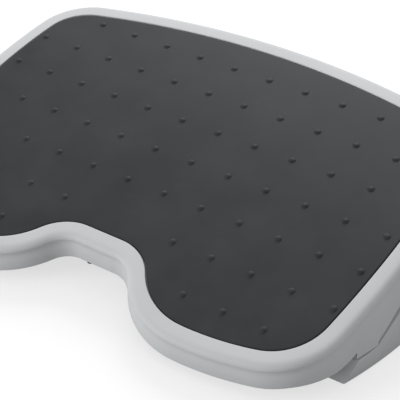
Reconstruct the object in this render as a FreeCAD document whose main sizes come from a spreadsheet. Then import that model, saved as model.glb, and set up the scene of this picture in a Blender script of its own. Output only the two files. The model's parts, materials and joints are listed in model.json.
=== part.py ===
import FreeCAD, Part
import math
import os
import Sketcher
from FreeCAD import Placement, Rotation, Vector

# Tilting under desk footrest. A foot deck with a rubber mat rocks on two friction pivots
# that stand on a low base of two side legs and two crossbars. Millimetres. +Z is up,
# +X is the sitter's right and +Y points away from the sitter. The deck is shown at its
# full tilt, as it leans when the heels rest low: its front teeth sit on the base.

SIZES = {
    # Outline of the mat, seen square on to the deck and measured from the deck's centre
    "mat_half_width": 248.8,
    "side_radius": 887.7,
    "side_crest": 4.5,
    "back_edge": 175.7,
    "back_radius": 814.3,
    "back_corner_radius": 44.6,
    "front_corner_radius": 54.2,
    "lobe_centre": 128.3,
    "lobe_edge": 164.6,
    "lobe_radius": 316.5,
    "lobe_inner_radius": 76.5,
    "notch_edge": 109.7,
    "notch_half_flat": 20.5,
    "notch_radius": 52.1,
    # The deck's crown, how high it stands and how far it leans
    "crown_radius": 1631.0,
    "deck_height": 89.0,
    "deck_tilt": 14.6,
    "deck_shift": -13.7,
    # Mat and its studs
    "mat_thickness": 2.6,
    "mat_edge_bevel": 0.6,
    "mat_bed_gap": 0.1,
    "stud_pitch_x": 43.0,
    "stud_pitch_y": 45.75,
    "stud_radius": 3.8,
    "stud_height": 1.5,
    "stud_sides": 6.0,
    "stud_edge": 5.0,
    # Section of the deck's rim: reach is measured outwards from the mat, drop down from it
    "rim_gap": 1.2,
    "rim_lip": 0.4,
    "rim_flat": 11.0,
    "rim_facets": 2.0,
    "rim_reach": 18.4,
    "rim_drop": 7.0,
    "crease_reach": 18.6,
    "crease_drop": 9.8,
    "skirt_flare": 0.21,
    "skirt_drop": 26.0,
    "skirt_full_drop": 47.0,
    "deck_wall": 3.0,
    "deck_floor": 3.4,
    "rim_ledge": 4.0,
    "gutter_depth": 0.9,
    # Ribs under the deck
    "rib_thickness": 2.0,
    "rib_drop": 15.0,
    "rib_spacing": 100.0,
    "rib_side_gap": 48.8,
    # Side skirt with the tooth that lands on the base
    "tooth_front": 94.0,
    "tooth_root_back": 8.6,
    "tooth_root_drop": 29.7,
    "side_skirt_front": 47.0,
    "side_skirt_dip": 25.0,
    "tooth_heel": 66.5,
    "tooth_gap": 0.5,
    "tooth_chamfer": 3.0,
    "seam_gap": 2.2,
    "side_skirt_slope": 0.513,
    "side_skirt_drop": 29.0,
    "side_skirt_rear": 45.0,
    "side_skirt_fade": 30.0,
    # Tilt pivot
    "pivot_drop": 27.0,
    "bolt_radius": 4.0,
    "bolt_head_radius": 7.5,
    "bolt_head_height": 4.0,
    "bolt_tail": 1.5,
    "bolt_hole_gap": 0.1,
    "bush_wall": 1.5,
    "bush_flange_radius": 8.0,
    "bush_flange": 1.5,
    "running_gap": 0.05,
    "seat_gap": 0.05,
    "side_play": 0.2,
    "friction_washer_radius": 11.0,
    "friction_washer_thickness": 1.6,
    "spring_washer_radius": 7.6,
    "spring_washer_thickness": 0.8,
    "spring_washer_rise": 0.8,
    "nut_width": 13.0,
    "nut_height": 6.5,
    "nut_collar": 2.0,
    # Deck brackets
    "bracket_plate": 4.0,
    "bracket_flange": 3.0,
    "bracket_flange_length": 64.0,
    "bracket_flange_inner": 26.0,
    "bracket_flange_outer": 12.0,
    "bracket_drop": 8.5,
    "bracket_shoulder": 16.0,
    "bracket_screw_radius": 1.5,
    "bracket_screw_head": 3.2,
    "bracket_screw_head_height": 2.2,
    "bracket_boss": 9.0,
    "bracket_hole_gap": 0.3,
    # Tilt stop: a pin in each leg that runs in a curved slot of the bracket
    "stop_radius": 21.0,
    "stop_pin_radius": 2.0,
    "stop_slot_gap": 0.3,
    "stop_pin_head": 3.4,
    "stop_pin_head_height": 1.5,
    "bracket_toe": 6.5,
    # Base legs
    "leg_floor_gap": 0.8,
    "leg_crest": 15.0,
    "leg_foot_proud": 25.7,
    "leg_foot_radius": 472.0,
    "leg_side_lean": 1.9,
    "leg_side_radius": 930.0,
    "leg_ledge": 23.5,
    "leg_top": 55.5,
    "leg_plateau": 20.0,
    "leg_front": 103.5,
    "leg_front_rake": 11.0,
    "leg_rear": 132.0,
    "leg_width": 48.5,
    "tower_step": 14.0,
    "leg_wall": 3.0,
    "leg_rib": 2.0,
    "leg_rib_spacing": 50.0,
    "pivot_boss_radius": 11.0,
    "pivot_boss_length": 12.0,
    # Crossbars between the legs
    "crossbar_width": 24.0,
    "crossbar_height": 13.5,
    "crossbar_wall": 2.5,
    "crossbar_lift": 9.5,
    "front_crossbar_y": -81.0,
    "rear_crossbar_y": 106.0,
    "crossbar_rib": 2.0,
    "crossbar_rib_spacing": 50.0,
    "crossbar_end_wall": 3.0,
    "crossbar_end_gap": 0.1,
    "crossbar_screw_radius": 1.75,
    "crossbar_screw_head": 3.4,
    "crossbar_screw_head_height": 2.4,
    "crossbar_screw_length": 14.0,
    "crossbar_screw_boss": 4.0,
    "crossbar_boss_length": 12.0,
    # Feet
    "centre_foot_x": 34.0,
    "centre_foot_inset": 3.6,
    "centre_foot_post": 3.2,
    "centre_foot_tip": 3.4,
    "centre_foot_tip_height": 2.6,
    "foot_pad_radius": 8.0,
    "foot_pad_height": 3.0,
    "foot_pad_edge": 25.5,
    "foot_pad_inset": 18.0,
    "foot_boss_radius": 9.6,
    # Sides that a small round post or hole is drawn with
    "small_round_sides": 12.0,
}

# Sizes that follow others: the base keeps under the deck's edge, whatever its width
TIED = {
    "rib_reach": "mat_half_width - rib_side_gap",
    "leg_foot_reach": "mat_half_width + leg_foot_proud",
    "leg_side_reach": "leg_foot_reach - leg_side_lean",
    "leg_inner": "leg_foot_reach - leg_width",
    "tower_inner": "leg_inner + tower_step",
    "foot_pad_x": "leg_foot_reach - foot_pad_edge",
}


class Size:
    """A size with its value and the spreadsheet formula that it comes from."""

    def __init__(self, value, text):
        self.value = float(value)
        self.text = text

    def _with(self, other, sign, value):
        text = other.text if isinstance(other, Size) else repr(float(other))
        return Size(value, f"({self.text} {sign} {text})")

    def __add__(self, other):
        return self._with(other, "+", self.value + float(other))

    def __sub__(self, other):
        return self._with(other, "-", self.value - float(other))

    def __mul__(self, other):
        return self._with(other, "*", self.value * float(other))

    def __truediv__(self, other):
        return self._with(other, "/", self.value / float(other))

    def __neg__(self):
        return Size(-self.value, f"(-1 * {self.text})")

    def __float__(self):
        return self.value


doc = FreeCAD.newDocument("footrest")
sheet = doc.addObject("Spreadsheet::Sheet", "Sizes")
for row, (alias, entry) in enumerate((SIZES | TIED).items(), start=1):
    sheet.set(f"A{row}", f"={entry}")
    sheet.setAlias(f"A{row}", alias)
doc.recompute()


def mm(alias):
    """The value of one named size, read from the sheet."""
    return float(sheet.get(alias))


size = {alias: Size(mm(alias), f"Sizes.{alias}") for alias in SIZES | TIED}
ZERO = Size(0, "0")
deck_place = Placement(
    Vector(0, mm("deck_shift"), mm("deck_height")), Rotation(Vector(1, 0, 0), mm("deck_tilt"))
)
base_place = Placement(Vector(0, mm("deck_shift"), 0), Rotation())
pieces = []


def bind(thing, **properties):
    """Tie properties of an object to the sheet."""
    for name, value in properties.items():
        thing.setExpression(name, value.text)


def hand_over(thing, node):
    """Name a finished piece and put it on the list of nodes."""
    thing.Label = node
    pieces.append(thing)
    return thing


def feature(node, shape, place=None):
    """A piece whose shape is worked out here from the sheet."""
    thing = doc.addObject("Part::Feature", node + "_solid")
    thing.Shape = shape
    if place is not None:
        thing.Placement = place.multiply(thing.Placement)
    return hand_over(thing, node)


def origin_plane(body, role):
    return next(plane for plane in body.Origin.OriginFeatures if plane.Role == role)


def polygon_sketch(body, name, role, corners):
    """A closed outline of straight lines on one of the body's own origin planes."""
    sketch = body.newObject("Sketcher::SketchObject", name)
    sketch.AttachmentSupport = [(origin_plane(body, role), "")]
    sketch.MapMode = "FlatFace"
    points = [Vector(float(across), float(up), 0) for across, up in corners]
    for start, end in zip(points, points[1:] + points[:1]):
        sketch.addGeometry(Part.LineSegment(start, end))
    for index, (across, up) in enumerate(corners):
        previous = (index - 1) % len(corners)
        sketch.addConstraint(Sketcher.Constraint("Coincident", previous, 2, index, 1))
        for kind, value in (("DistanceX", across), ("DistanceY", up)):
            number = sketch.addConstraint(Sketcher.Constraint(kind, index, 1, float(value)))
            sketch.setExpression(f"Constraints[{number}]", value.text)
    return sketch


def turned_body(name, corners):
    """A round piece: its half section (radius, height) turned about Z."""
    body = doc.addObject("PartDesign::Body", name)
    sketch = polygon_sketch(body, name + "_section", "XZ_Plane", corners)
    turn = body.newObject("PartDesign::Revolution", name + "_turned")
    turn.Profile = sketch
    turn.ReferenceAxis = (sketch, ["V_Axis"])
    turn.Angle = 360.0
    body.Tip = turn
    doc.recompute()
    return body


def placed_copies(source, places):
    return Part.makeCompound([source.Shape.copy().transformed(p.toMatrix()) for p in places])


def small_round(radius, length, start, axis, hole=False):
    """A small round post inside this radius, or a hole outside it, with few sides."""
    sides = int(mm("small_round_sides"))
    reach = radius / math.cos(math.pi / sides) if hole else radius
    turn = Rotation(Vector(0, 0, 1), axis)
    angles = [2 * math.pi * index / sides for index in range(sides + 1)]
    rim = [turn.multVec(Vector(reach * math.cos(a), reach * math.sin(a), 0)) + start for a in angles]
    return Part.Face(Part.makePolygon(rim)).extrude(axis * length)


def headed_pin(name, shank, length, head, head_height, head_base, head_sides, shank_sides):
    """A screw, bolt or pin along +Z, whose head turns a flat side, not a corner, to +X."""
    top = doc.addObject("Part::Prism", name + "_head")
    top.Polygon = head_sides
    bind(top, Circumradius=head, Height=head_height)
    top.Placement = Placement(Vector(0, 0, float(head_base)), Rotation(Vector(0, 0, 1), 180 / head_sides))
    if shank_sides:
        stem = doc.addObject("Part::Prism", name + "_stem")
        stem.Polygon = shank_sides
        bind(stem, Circumradius=shank, Height=length)
    else:
        stem = doc.addObject("Part::Cylinder", name + "_stem")
        bind(stem, Radius=shank, Height=length)
    pin = doc.addObject("Part::MultiFuse", name)
    pin.Shapes = [top, stem]
    doc.recompute()
    return pin


def along_x(x, y, z, side=1):
    """Lay a piece modelled along +Z on its side, pointing outwards on that side."""
    return Placement(Vector(side * x, y, z), Rotation(Vector(0, 1, 0), 90 * side))


# Deck outline

def circle_crossings(centre_a, radius_a, centre_b, radius_b):
    across, up = centre_b[0] - centre_a[0], centre_b[1] - centre_a[1]
    gap = math.hypot(across, up)
    along = (radius_a**2 - radius_b**2 + gap**2) / (2 * gap)
    height = math.sqrt(radius_a**2 - along**2)
    middle = (centre_a[0] + along * across / gap, centre_a[1] + along * up / gap)
    shift = (-height * up / gap, height * across / gap)
    return [(middle[0] + sign * shift[0], middle[1] + sign * shift[1]) for sign in (1, -1)]


def point_towards(centre, target, radius):
    gap = math.hypot(target[0] - centre[0], target[1] - centre[1])
    return tuple(c + (t - c) * radius / gap for c, t in zip(centre, target))


def half_outline():
    """The mat's right half, from the back's middle to the notch, as tangent arcs.

    Each arc is (centre, radius, start angle, sweep, side): side is 1 where it bulges
    outwards and -1 in the notch, where it bends inwards.
    """
    back, back_r = mm("back_edge"), mm("back_radius")
    side_r, lobe_r, notch_r = mm("side_radius"), mm("lobe_radius"), mm("notch_radius")
    rear_r, front_r, inner_r = mm("back_corner_radius"), mm("front_corner_radius"), mm("lobe_inner_radius")
    back_c = (0, back - back_r)
    side_c = (mm("mat_half_width") - side_r, mm("side_crest"))
    lobe_c = (mm("lobe_centre"), lobe_r - mm("lobe_edge"))
    notch_c = (mm("notch_half_flat"), -mm("notch_edge") - notch_r)
    rear_c = max(circle_crossings(back_c, back_r - rear_r, side_c, side_r - rear_r), key=sum)
    front_c = max(
        circle_crossings(side_c, side_r - front_r, lobe_c, lobe_r - front_r), key=lambda c: c[0] - c[1]
    )
    inner_c = min(
        circle_crossings(lobe_c, lobe_r - inner_r, notch_c, notch_r + inner_r), key=lambda c: c[1]
    )
    joints = [
        (0, back),
        point_towards(back_c, rear_c, back_r),
        point_towards(side_c, rear_c, side_r),
        point_towards(side_c, front_c, side_r),
        point_towards(lobe_c, front_c, lobe_r),
        point_towards(lobe_c, inner_c, lobe_r),
        point_towards(notch_c, inner_c, notch_r),
        (notch_c[0], -mm("notch_edge")),
    ]
    circles = [
        (back_c, back_r, 1),
        (rear_c, rear_r, 1),
        (side_c, side_r, 1),
        (front_c, front_r, 1),
        (lobe_c, lobe_r, 1),
        (inner_c, inner_r, 1),
        (notch_c, notch_r, -1),
    ]
    arcs = []
    for (centre, radius, side), start, end in zip(circles, joints, joints[1:]):
        first = math.atan2(start[1] - centre[1], start[0] - centre[0])
        last = math.atan2(end[1] - centre[1], end[0] - centre[0])
        sweep = (last - first + math.pi) % (2 * math.pi) - math.pi
        arcs.append((centre, radius, first, sweep, side))
    return arcs


def outline_face(reach):
    """The flat face inside the mat's outline, grown outwards by reach."""
    right = []
    for centre, radius, first, sweep, side in half_outline():
        grown = radius + reach * side
        angles = (first, first + sweep / 2, first + sweep)
        x, y = centre[0], centre[1]
        right.append([Vector(x + grown * math.cos(a), y + grown * math.sin(a), 0) for a in angles])
    mirrored = [[Vector(-p.x, p.y, 0) for p in reversed(arc)] for arc in reversed(right)]
    flat = Part.LineSegment(right[-1][2], mirrored[0][0])
    edges = [Part.Arc(*arc).toShape() for arc in right]
    edges.append(flat.toShape())
    edges += [Part.Arc(*arc).toShape() for arc in mirrored]
    return Part.Face(Part.Wire(edges))


def crown_drop(y):
    radius = mm("crown_radius")
    return radius - math.sqrt(radius**2 - y**2)


def crown_cylinder(drop):
    """Everything below the crowned surface that lies this far under the mat's top."""
    reach = 2 * mm("mat_half_width")
    radius = mm("crown_radius")
    return Part.makeCylinder(radius - drop, 2 * reach, Vector(-reach, 0, -radius), Vector(1, 0, 0))


def crowned_layer(top, bottom, reach):
    """A layer of the deck between two drops, as wide as the outline grown by reach."""
    deep = bottom + crown_drop(mm("back_edge") + abs(reach)) + 1
    prism = outline_face(reach).extrude(Vector(0, 0, -deep))
    if top < 0:
        prism = prism.fuse(outline_face(reach).extrude(Vector(0, 0, -top)))
    return prism.common(crown_cylinder(top).cut(crown_cylinder(bottom)))


def crowned_spine():
    """The mat's outline laid on the crowned deck, as one smooth closed path."""
    radius = mm("crown_radius")
    halves = []
    for centre, arc_r, first, sweep, side in half_outline():
        spans = max(1, math.ceil(abs(sweep) / 0.45))
        turn = math.copysign(1, sweep)
        stations = []
        for step in range(spans + 1):
            angle = first + sweep * step / spans
            y = centre[1] + arc_r * math.sin(angle)
            point = Vector(centre[0] + arc_r * math.cos(angle), y, -crown_drop(y))
            lean = -y / (radius - crown_drop(y))
            heading = Vector(-turn * math.sin(angle), turn * math.cos(angle), 0)
            heading.z = heading.y * lean
            stations.append((point, heading))
        halves.append(stations)

    def path(stations):
        curve = Part.BSplineCurve()
        curve.interpolate(
            Points=[point for point, _ in stations],
            InitialTangent=stations[0][1],
            FinalTangent=stations[-1][1],
        )
        return curve.toShape()

    def mirror(stations):
        flip = [(Vector(-p.x, p.y, p.z), Vector(h.x, -h.y, -h.z)) for p, h in stations]
        return flip[::-1]

    left = [mirror(stations) for stations in reversed(halves)]
    flat = Part.LineSegment(halves[-1][-1][0], left[0][0][0]).toShape()
    return Part.Wire([path(s) for s in halves] + [flat] + [path(s) for s in left])


def skirt_reach(drop):
    """How far outside the mat the skirt's outer face stands at a given drop."""
    return mm("crease_reach") + (drop - mm("crease_drop")) * mm("skirt_flare")


def rim_section():
    """The moulded section of rim, crease and skirt, standing at the middle of the back."""
    back, start_drop = mm("back_edge"), crown_drop(mm("back_edge"))
    wall, full = mm("deck_wall"), mm("skirt_full_drop")
    gutter = mm("mat_thickness") + mm("mat_bed_gap") + mm("gutter_depth")
    under = gutter + mm("deck_floor") - 0.1

    def at(reach, drop):
        return Vector(0, back + reach, -start_drop - drop)

    ledge_top = at(-mm("rim_ledge"), gutter)
    gutter_corner = at(mm("rim_gap"), gutter)
    lip = at(mm("rim_gap"), -mm("rim_lip"))
    brow = at(mm("rim_flat"), 0)
    cheek = at(mm("rim_reach"), mm("rim_drop"))
    crease = at(mm("crease_reach"), mm("crease_drop"))
    hem = at(skirt_reach(full), full)
    hem_inside = at(skirt_reach(full) - wall, full)
    crease_inside = at(mm("crease_reach") - wall, mm("crease_drop"))
    brow_inside = at(mm("rim_flat") - 1, under)
    ledge_bottom = at(-mm("rim_ledge"), under)
    rounding = Part.BezierCurve()
    rounding.setPoles([brow, at(mm("rim_reach") - 0.6, 0.6), cheek])
    facets = int(mm("rim_facets"))
    corners = [rounding.value(step / facets) for step in range(facets + 1)]
    corners += [crease, hem, hem_inside, crease_inside, brow_inside, ledge_bottom]
    corners += [ledge_top, gutter_corner, lip, brow]
    return Part.makePolygon(corners)


def swept_rim():
    sweep = Part.BRepOffsetAPI.MakePipeShell(crowned_spine())
    sweep.setBiNormalMode(Vector(0, 0, 1))
    sweep.add(rim_section())
    sweep.build()
    sweep.makeSolid()
    return sweep.shape()


def side_profile(points, near, far):
    """A solid with this outline (y, z), reaching in X from near to far."""
    corners = [Vector(near, y, z) for y, z in points]
    return Part.Face(Part.makePolygon(corners + corners[:1])).extrude(Vector(far - near, 0, 0))


def seam_height(y):
    """Height of the side skirt's sloping lower edge over the base, at full tilt."""
    foot = mm("leg_ledge") + mm("tooth_gap") + mm("tooth_chamfer")
    return foot + (y + mm("tooth_heel") - 1.3) * mm("side_skirt_slope")


def side_skirt_keep():
    """The stretch of deep side skirt, with its front tooth, in the deck's own frame."""
    tilt = math.radians(mm("deck_tilt"))
    sole = mm("leg_ledge") + mm("tooth_gap")

    def to_deck(y, z):
        rise = z - mm("deck_height")
        return (
            y * math.cos(tilt) + rise * math.sin(tilt),
            -y * math.sin(tilt) + rise * math.cos(tilt),
        )

    drop, rear = mm("side_skirt_drop"), mm("side_skirt_rear")
    toe = to_deck(-mm("tooth_front"), sole)
    heel = to_deck(-mm("tooth_heel"), sole)
    start = -mm("tooth_heel") + 1.3
    step = to_deck(start, seam_height(start))
    far = to_deck(0, seam_height(0))
    share = (drop + step[1]) / (step[1] - far[1])
    turn_y = step[0] + (far[0] - step[0]) * share
    fade = rear + mm("side_skirt_fade")
    above = -mm("rim_drop")

    def at_drop(y, reach_down):
        return (y, -reach_down - crown_drop(y))

    front, dip = toe[0] - mm("side_skirt_front"), toe[0] - mm("side_skirt_dip")
    outline = [
        (front, above),
        at_drop(front, mm("skirt_drop") - 0.5),
        at_drop(dip, mm("tooth_root_drop")),
        at_drop(toe[0] + mm("tooth_root_back"), mm("tooth_root_drop")),
        toe,
        heel,
        step,
        (turn_y, -drop),
        (rear, -drop),
        (fade, -mm("skirt_drop") - crown_drop(fade) + 0.5),
        (fade, above),
    ]
    inner = mm("mat_half_width") - 2 * mm("rim_reach")
    outer = mm("mat_half_width") + skirt_reach(mm("skirt_full_drop")) + mm("deck_wall")
    right = side_profile(outline, inner, outer)
    left = side_profile(outline, -outer, -inner)
    return right.fuse(left)


def bracket_screw_spots():
    """Where the three screws of the right bracket sit: x and y in the deck's frame."""
    plate = bracket_plate_inner()
    length = mm("bracket_flange_length") / 2 - 2 * mm("bracket_screw_head")
    inner = plate - mm("bracket_flange_inner") + 1.6 * mm("bracket_screw_head")
    outer = plate + mm("bracket_plate") + mm("bracket_flange_outer") - 1.6 * mm("bracket_screw_head")
    return [(inner, -length), (inner, length), (outer, 0.0)]


def bracket_plate_inner():
    washer = mm("tower_inner") - mm("friction_washer_thickness")
    return washer - mm("side_play") - mm("bracket_plate")


def rib_grid():
    """Crossing ribs under the deck's floor."""
    spacing, thick, reach = mm("rib_spacing"), mm("rib_thickness"), mm("rib_reach")
    height = mm("rib_drop") + crown_drop(mm("back_edge")) + 2
    depth = mm("back_edge") + mm("lobe_edge")
    bars = []
    count = int(reach / spacing)
    for index in range(-count, count + 1):
        corner = Vector(index * spacing - thick / 2, -mm("lobe_edge"), -height)
        bars.append(Part.makeBox(thick, depth, height, corner))
    rows = int(mm("back_edge") / spacing)
    for index in range(-rows, rows + 1):
        corner = Vector(-reach, index * spacing - thick / 2, -height)
        bars.append(Part.makeBox(2 * reach, thick, height, corner))
    grid = bars[0].fuse(bars[1:])
    bed = mm("mat_thickness") + mm("mat_bed_gap") + mm("deck_floor")
    return grid.common(crowned_layer(bed - 0.4, mm("rib_drop"), -mm("rim_ledge") / 2))


def deck_shell():
    bed = mm("mat_thickness") + mm("mat_bed_gap")
    floor = crowned_layer(bed, bed + mm("deck_floor"), -1.0)
    shell = swept_rim().fuse(floor)
    shell = shell.fuse(rib_grid())
    reach = mm("mat_half_width") + mm("skirt_full_drop")
    depth = mm("back_edge") + mm("skirt_full_drop")
    deep = 2 * mm("skirt_full_drop") + crown_drop(depth)
    block = Part.makeBox(2 * reach, 2 * depth, deep, Vector(-reach, -depth, -deep))
    below = block.common(crown_cylinder(mm("skirt_drop"))).cut(side_skirt_keep())
    shell = shell.cut(below)
    bosses = []
    pilots = []
    for x, y in bracket_screw_spots():
        for side in (-1, 1):
            top = Vector(side * x, y, -bed - mm("deck_floor") / 2 - crown_drop(y))
            boss = mm("bracket_drop") - mm("seat_gap") + top.z
            wide = mm("bracket_boss")
            corner = top - Vector(wide / 2, wide / 2, boss)
            bosses.append(Part.makeBox(wide, wide, boss, corner))
            down = Vector(0, 0, -1)
            start = Vector(side * x, y, -bed - 0.6 - crown_drop(y))
            pilot = mm("bracket_screw_radius") + mm("seat_gap")
            pilots.append(small_round(pilot, 20, start, down, hole=True))
    return shell.fuse(bosses).cut(Part.makeCompound(pilots))


feature("deck_shell", deck_shell(), deck_place)


# Mat

def stud_spots():
    """Centres of the studs: a grid inside the mat's edge, with a bare panel at the notch."""
    pitch_x, pitch_y = mm("stud_pitch_x"), mm("stud_pitch_y")
    inside = outline_face(-mm("stud_edge"))
    columns = int(mm("mat_half_width") / pitch_x) + 1
    rows_back = int(mm("back_edge") / pitch_y)
    rows_front = int(mm("lobe_edge") / pitch_y)
    spots = []
    for row in range(-rows_front, rows_back + 1):
        for column in range(-columns, columns):
            x, y = (column + 0.5) * pitch_x, row * pitch_y
            bare = row == 1 - rows_front and abs(x) < pitch_x
            if not bare and inside.isInside(Vector(x, y, 0), 0.01, True):
                spots.append((x, y))
    return spots


def domed_stud():
    """One low stud with a root that sinks into the mat: a blunt many-sided cone."""
    rise, sink = mm("stud_height"), mm("mat_thickness") / 4
    sides = int(mm("stud_sides"))
    turns = [2 * math.pi * (index + 0.5) / sides for index in range(sides)]
    slope = mm("stud_radius") / 3 / rise

    def ring(z):
        radius = mm("stud_radius") - z * slope
        return [Vector(radius * math.cos(t), radius * math.sin(t), z) for t in turns]

    root, top = ring(-sink), ring(rise)
    faces = [Part.Face(Part.makePolygon(corners + corners[:1])) for corners in (root, top)]
    for index in range(sides):
        after = (index + 1) % sides
        side = [root[index], root[after], top[after], top[index]]
        faces.append(Part.Face(Part.makePolygon(side + side[:1])))
    return Part.makeSolid(Part.makeShell(faces))


def rubber_mat():
    mat = crowned_layer(0, mm("mat_thickness"), 0)
    top_edges = [
        edge
        for edge in mat.Edges
        if all(abs(v.Point.z + crown_drop(v.Point.y)) < 0.01 for v in edge.Vertexes)
    ]
    mat = mat.makeChamfer(mm("mat_edge_bevel"), top_edges)
    stud = domed_stud()
    studs = []
    for x, y in stud_spots():
        copy = stud.copy()
        copy.translate(Vector(x, y, -crown_drop(y)))
        studs.append(copy)
    return mat.fuse(studs)


feature("rubber_mat", rubber_mat(), deck_place)


# Tilt pivot: where its axis crosses the side view
tilt_angle = math.radians(mm("deck_tilt"))
pivot_y = mm("pivot_drop") * math.sin(tilt_angle)
pivot_z = mm("deck_height") - mm("pivot_drop") * math.cos(tilt_angle)


def pair_on_axis(source, node, start, drop=0.0):
    """The right and the left copy of a round piece that lies along the pivot axis."""
    height = pivot_z - drop
    places = [base_place.multiply(along_x(start, pivot_y, height, side)) for side in (1, -1)]
    feature(node, placed_copies(source, places))


washer_inner = mm("tower_inner") - mm("friction_washer_thickness")
plate_inner = bracket_plate_inner()
flange_inner = plate_inner - mm("bush_flange")
spring_stack = mm("spring_washer_thickness") + mm("spring_washer_rise")
spring_inner = flange_inner - mm("side_play") - spring_stack
nut_inner = spring_inner - mm("nut_height")
bolt_start = nut_inner - mm("bolt_tail")


def bolt_length():
    """Length under the head, from the tail to the outer face of the leg's boss."""
    stack = size["pivot_boss_length"] + size["friction_washer_thickness"] + size["side_play"]
    stack = stack + size["bracket_plate"] + size["bush_flange"] + size["side_play"]
    stack = stack + size["spring_washer_thickness"] + size["spring_washer_rise"]
    return stack + size["nut_height"] + size["bolt_tail"]


grip = bolt_length()
head_radius, head_height = size["bolt_head_radius"], size["bolt_head_height"]
bolt = headed_pin("pivot_bolt", size["bolt_radius"], grip, head_radius, head_height, grip, 6, 0)
pair_on_axis(bolt, "pivot_bolts", bolt_start)

bush_bore = size["bolt_radius"] + size["running_gap"]
bush = turned_body(
    "pivot_bush",
    [
        (bush_bore, ZERO),
        (size["bush_flange_radius"], ZERO),
        (size["bush_flange_radius"], size["bush_flange"]),
        (bush_bore + size["bush_wall"], size["bush_flange"]),
        (bush_bore + size["bush_wall"], size["bush_flange"] + size["bracket_plate"]),
        (bush_bore, size["bush_flange"] + size["bracket_plate"]),
    ],
)
pair_on_axis(bush, "pivot_bushes", flange_inner - mm("seat_gap"))

friction_washer = turned_body(
    "friction_washer",
    [
        (size["bolt_radius"] + size["bolt_hole_gap"], ZERO),
        (size["friction_washer_radius"], ZERO),
        (size["friction_washer_radius"], size["friction_washer_thickness"]),
        (size["bolt_radius"] + size["bolt_hole_gap"], size["friction_washer_thickness"]),
    ],
)
pair_on_axis(friction_washer, "friction_washers", washer_inner)

spring_bore = size["bolt_radius"] + size["bolt_hole_gap"]
spring_washer = turned_body(
    "spring_washer",
    [
        (spring_bore, ZERO),
        (spring_bore, size["spring_washer_thickness"]),
        (size["spring_washer_radius"], size["spring_washer_thickness"] + size["spring_washer_rise"]),
        (size["spring_washer_radius"], size["spring_washer_rise"]),
    ],
)
pair_on_axis(spring_washer, "spring_washers", spring_inner)


def lock_nut():
    """A hexagon nut with a round collar for its nylon ring."""
    prism = doc.addObject("Part::Prism", "nut_hexagon")
    prism.Polygon = 6
    bind(prism, Circumradius=size["nut_width"] / math.sqrt(3), Height=size["nut_height"] - size["nut_collar"])
    prism.Placement.Base.z = mm("nut_collar")
    sides = int(mm("small_round_sides"))
    collar = doc.addObject("Part::Prism", "nut_collar")
    collar.Polygon = sides
    bind(collar, Circumradius=size["nut_width"] * 0.46, Height=size["nut_collar"] + 1.0)
    bore = doc.addObject("Part::Prism", "nut_bore")
    bore.Polygon = sides
    clear = (size["bolt_radius"] + size["seat_gap"]) / math.cos(math.pi / sides)
    bind(bore, Circumradius=clear, Height=size["nut_height"] + 2.0)
    bore.Placement.Base.z = -1
    body = doc.addObject("Part::MultiFuse", "nut_blank")
    body.Shapes = [prism, collar]
    nut = doc.addObject("Part::Cut", "nut")
    nut.Base = body
    nut.Tool = bore
    doc.recompute()
    return nut


pair_on_axis(lock_nut(), "lock_nuts", nut_inner)


# Deck brackets

def slot_solid(radius, half_width, first, last, near, far):
    """A curved slot round the pivot, as a solid that reaches in X from near to far."""
    inner, outer = radius - half_width, radius + half_width
    length = far - near
    axis = Vector(1, 0, 0)
    ring = Part.makeCylinder(outer, length, Vector(near, 0, 0), axis)
    ring = ring.cut(Part.makeCylinder(inner, length, Vector(near, 0, 0), axis))
    far_out = 3 * outer

    def ray(angle, distance):
        return (distance * math.sin(angle), -distance * math.cos(angle))

    wedge = side_profile([(0, 0), ray(first, far_out), ray(last, far_out)], near, far)
    slot = ring.common(wedge)
    for angle in (first, last):
        y, z = ray(angle, radius)
        slot = slot.fuse(Part.makeCylinder(half_width, length, Vector(near, y, z), axis))
    return slot


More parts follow.
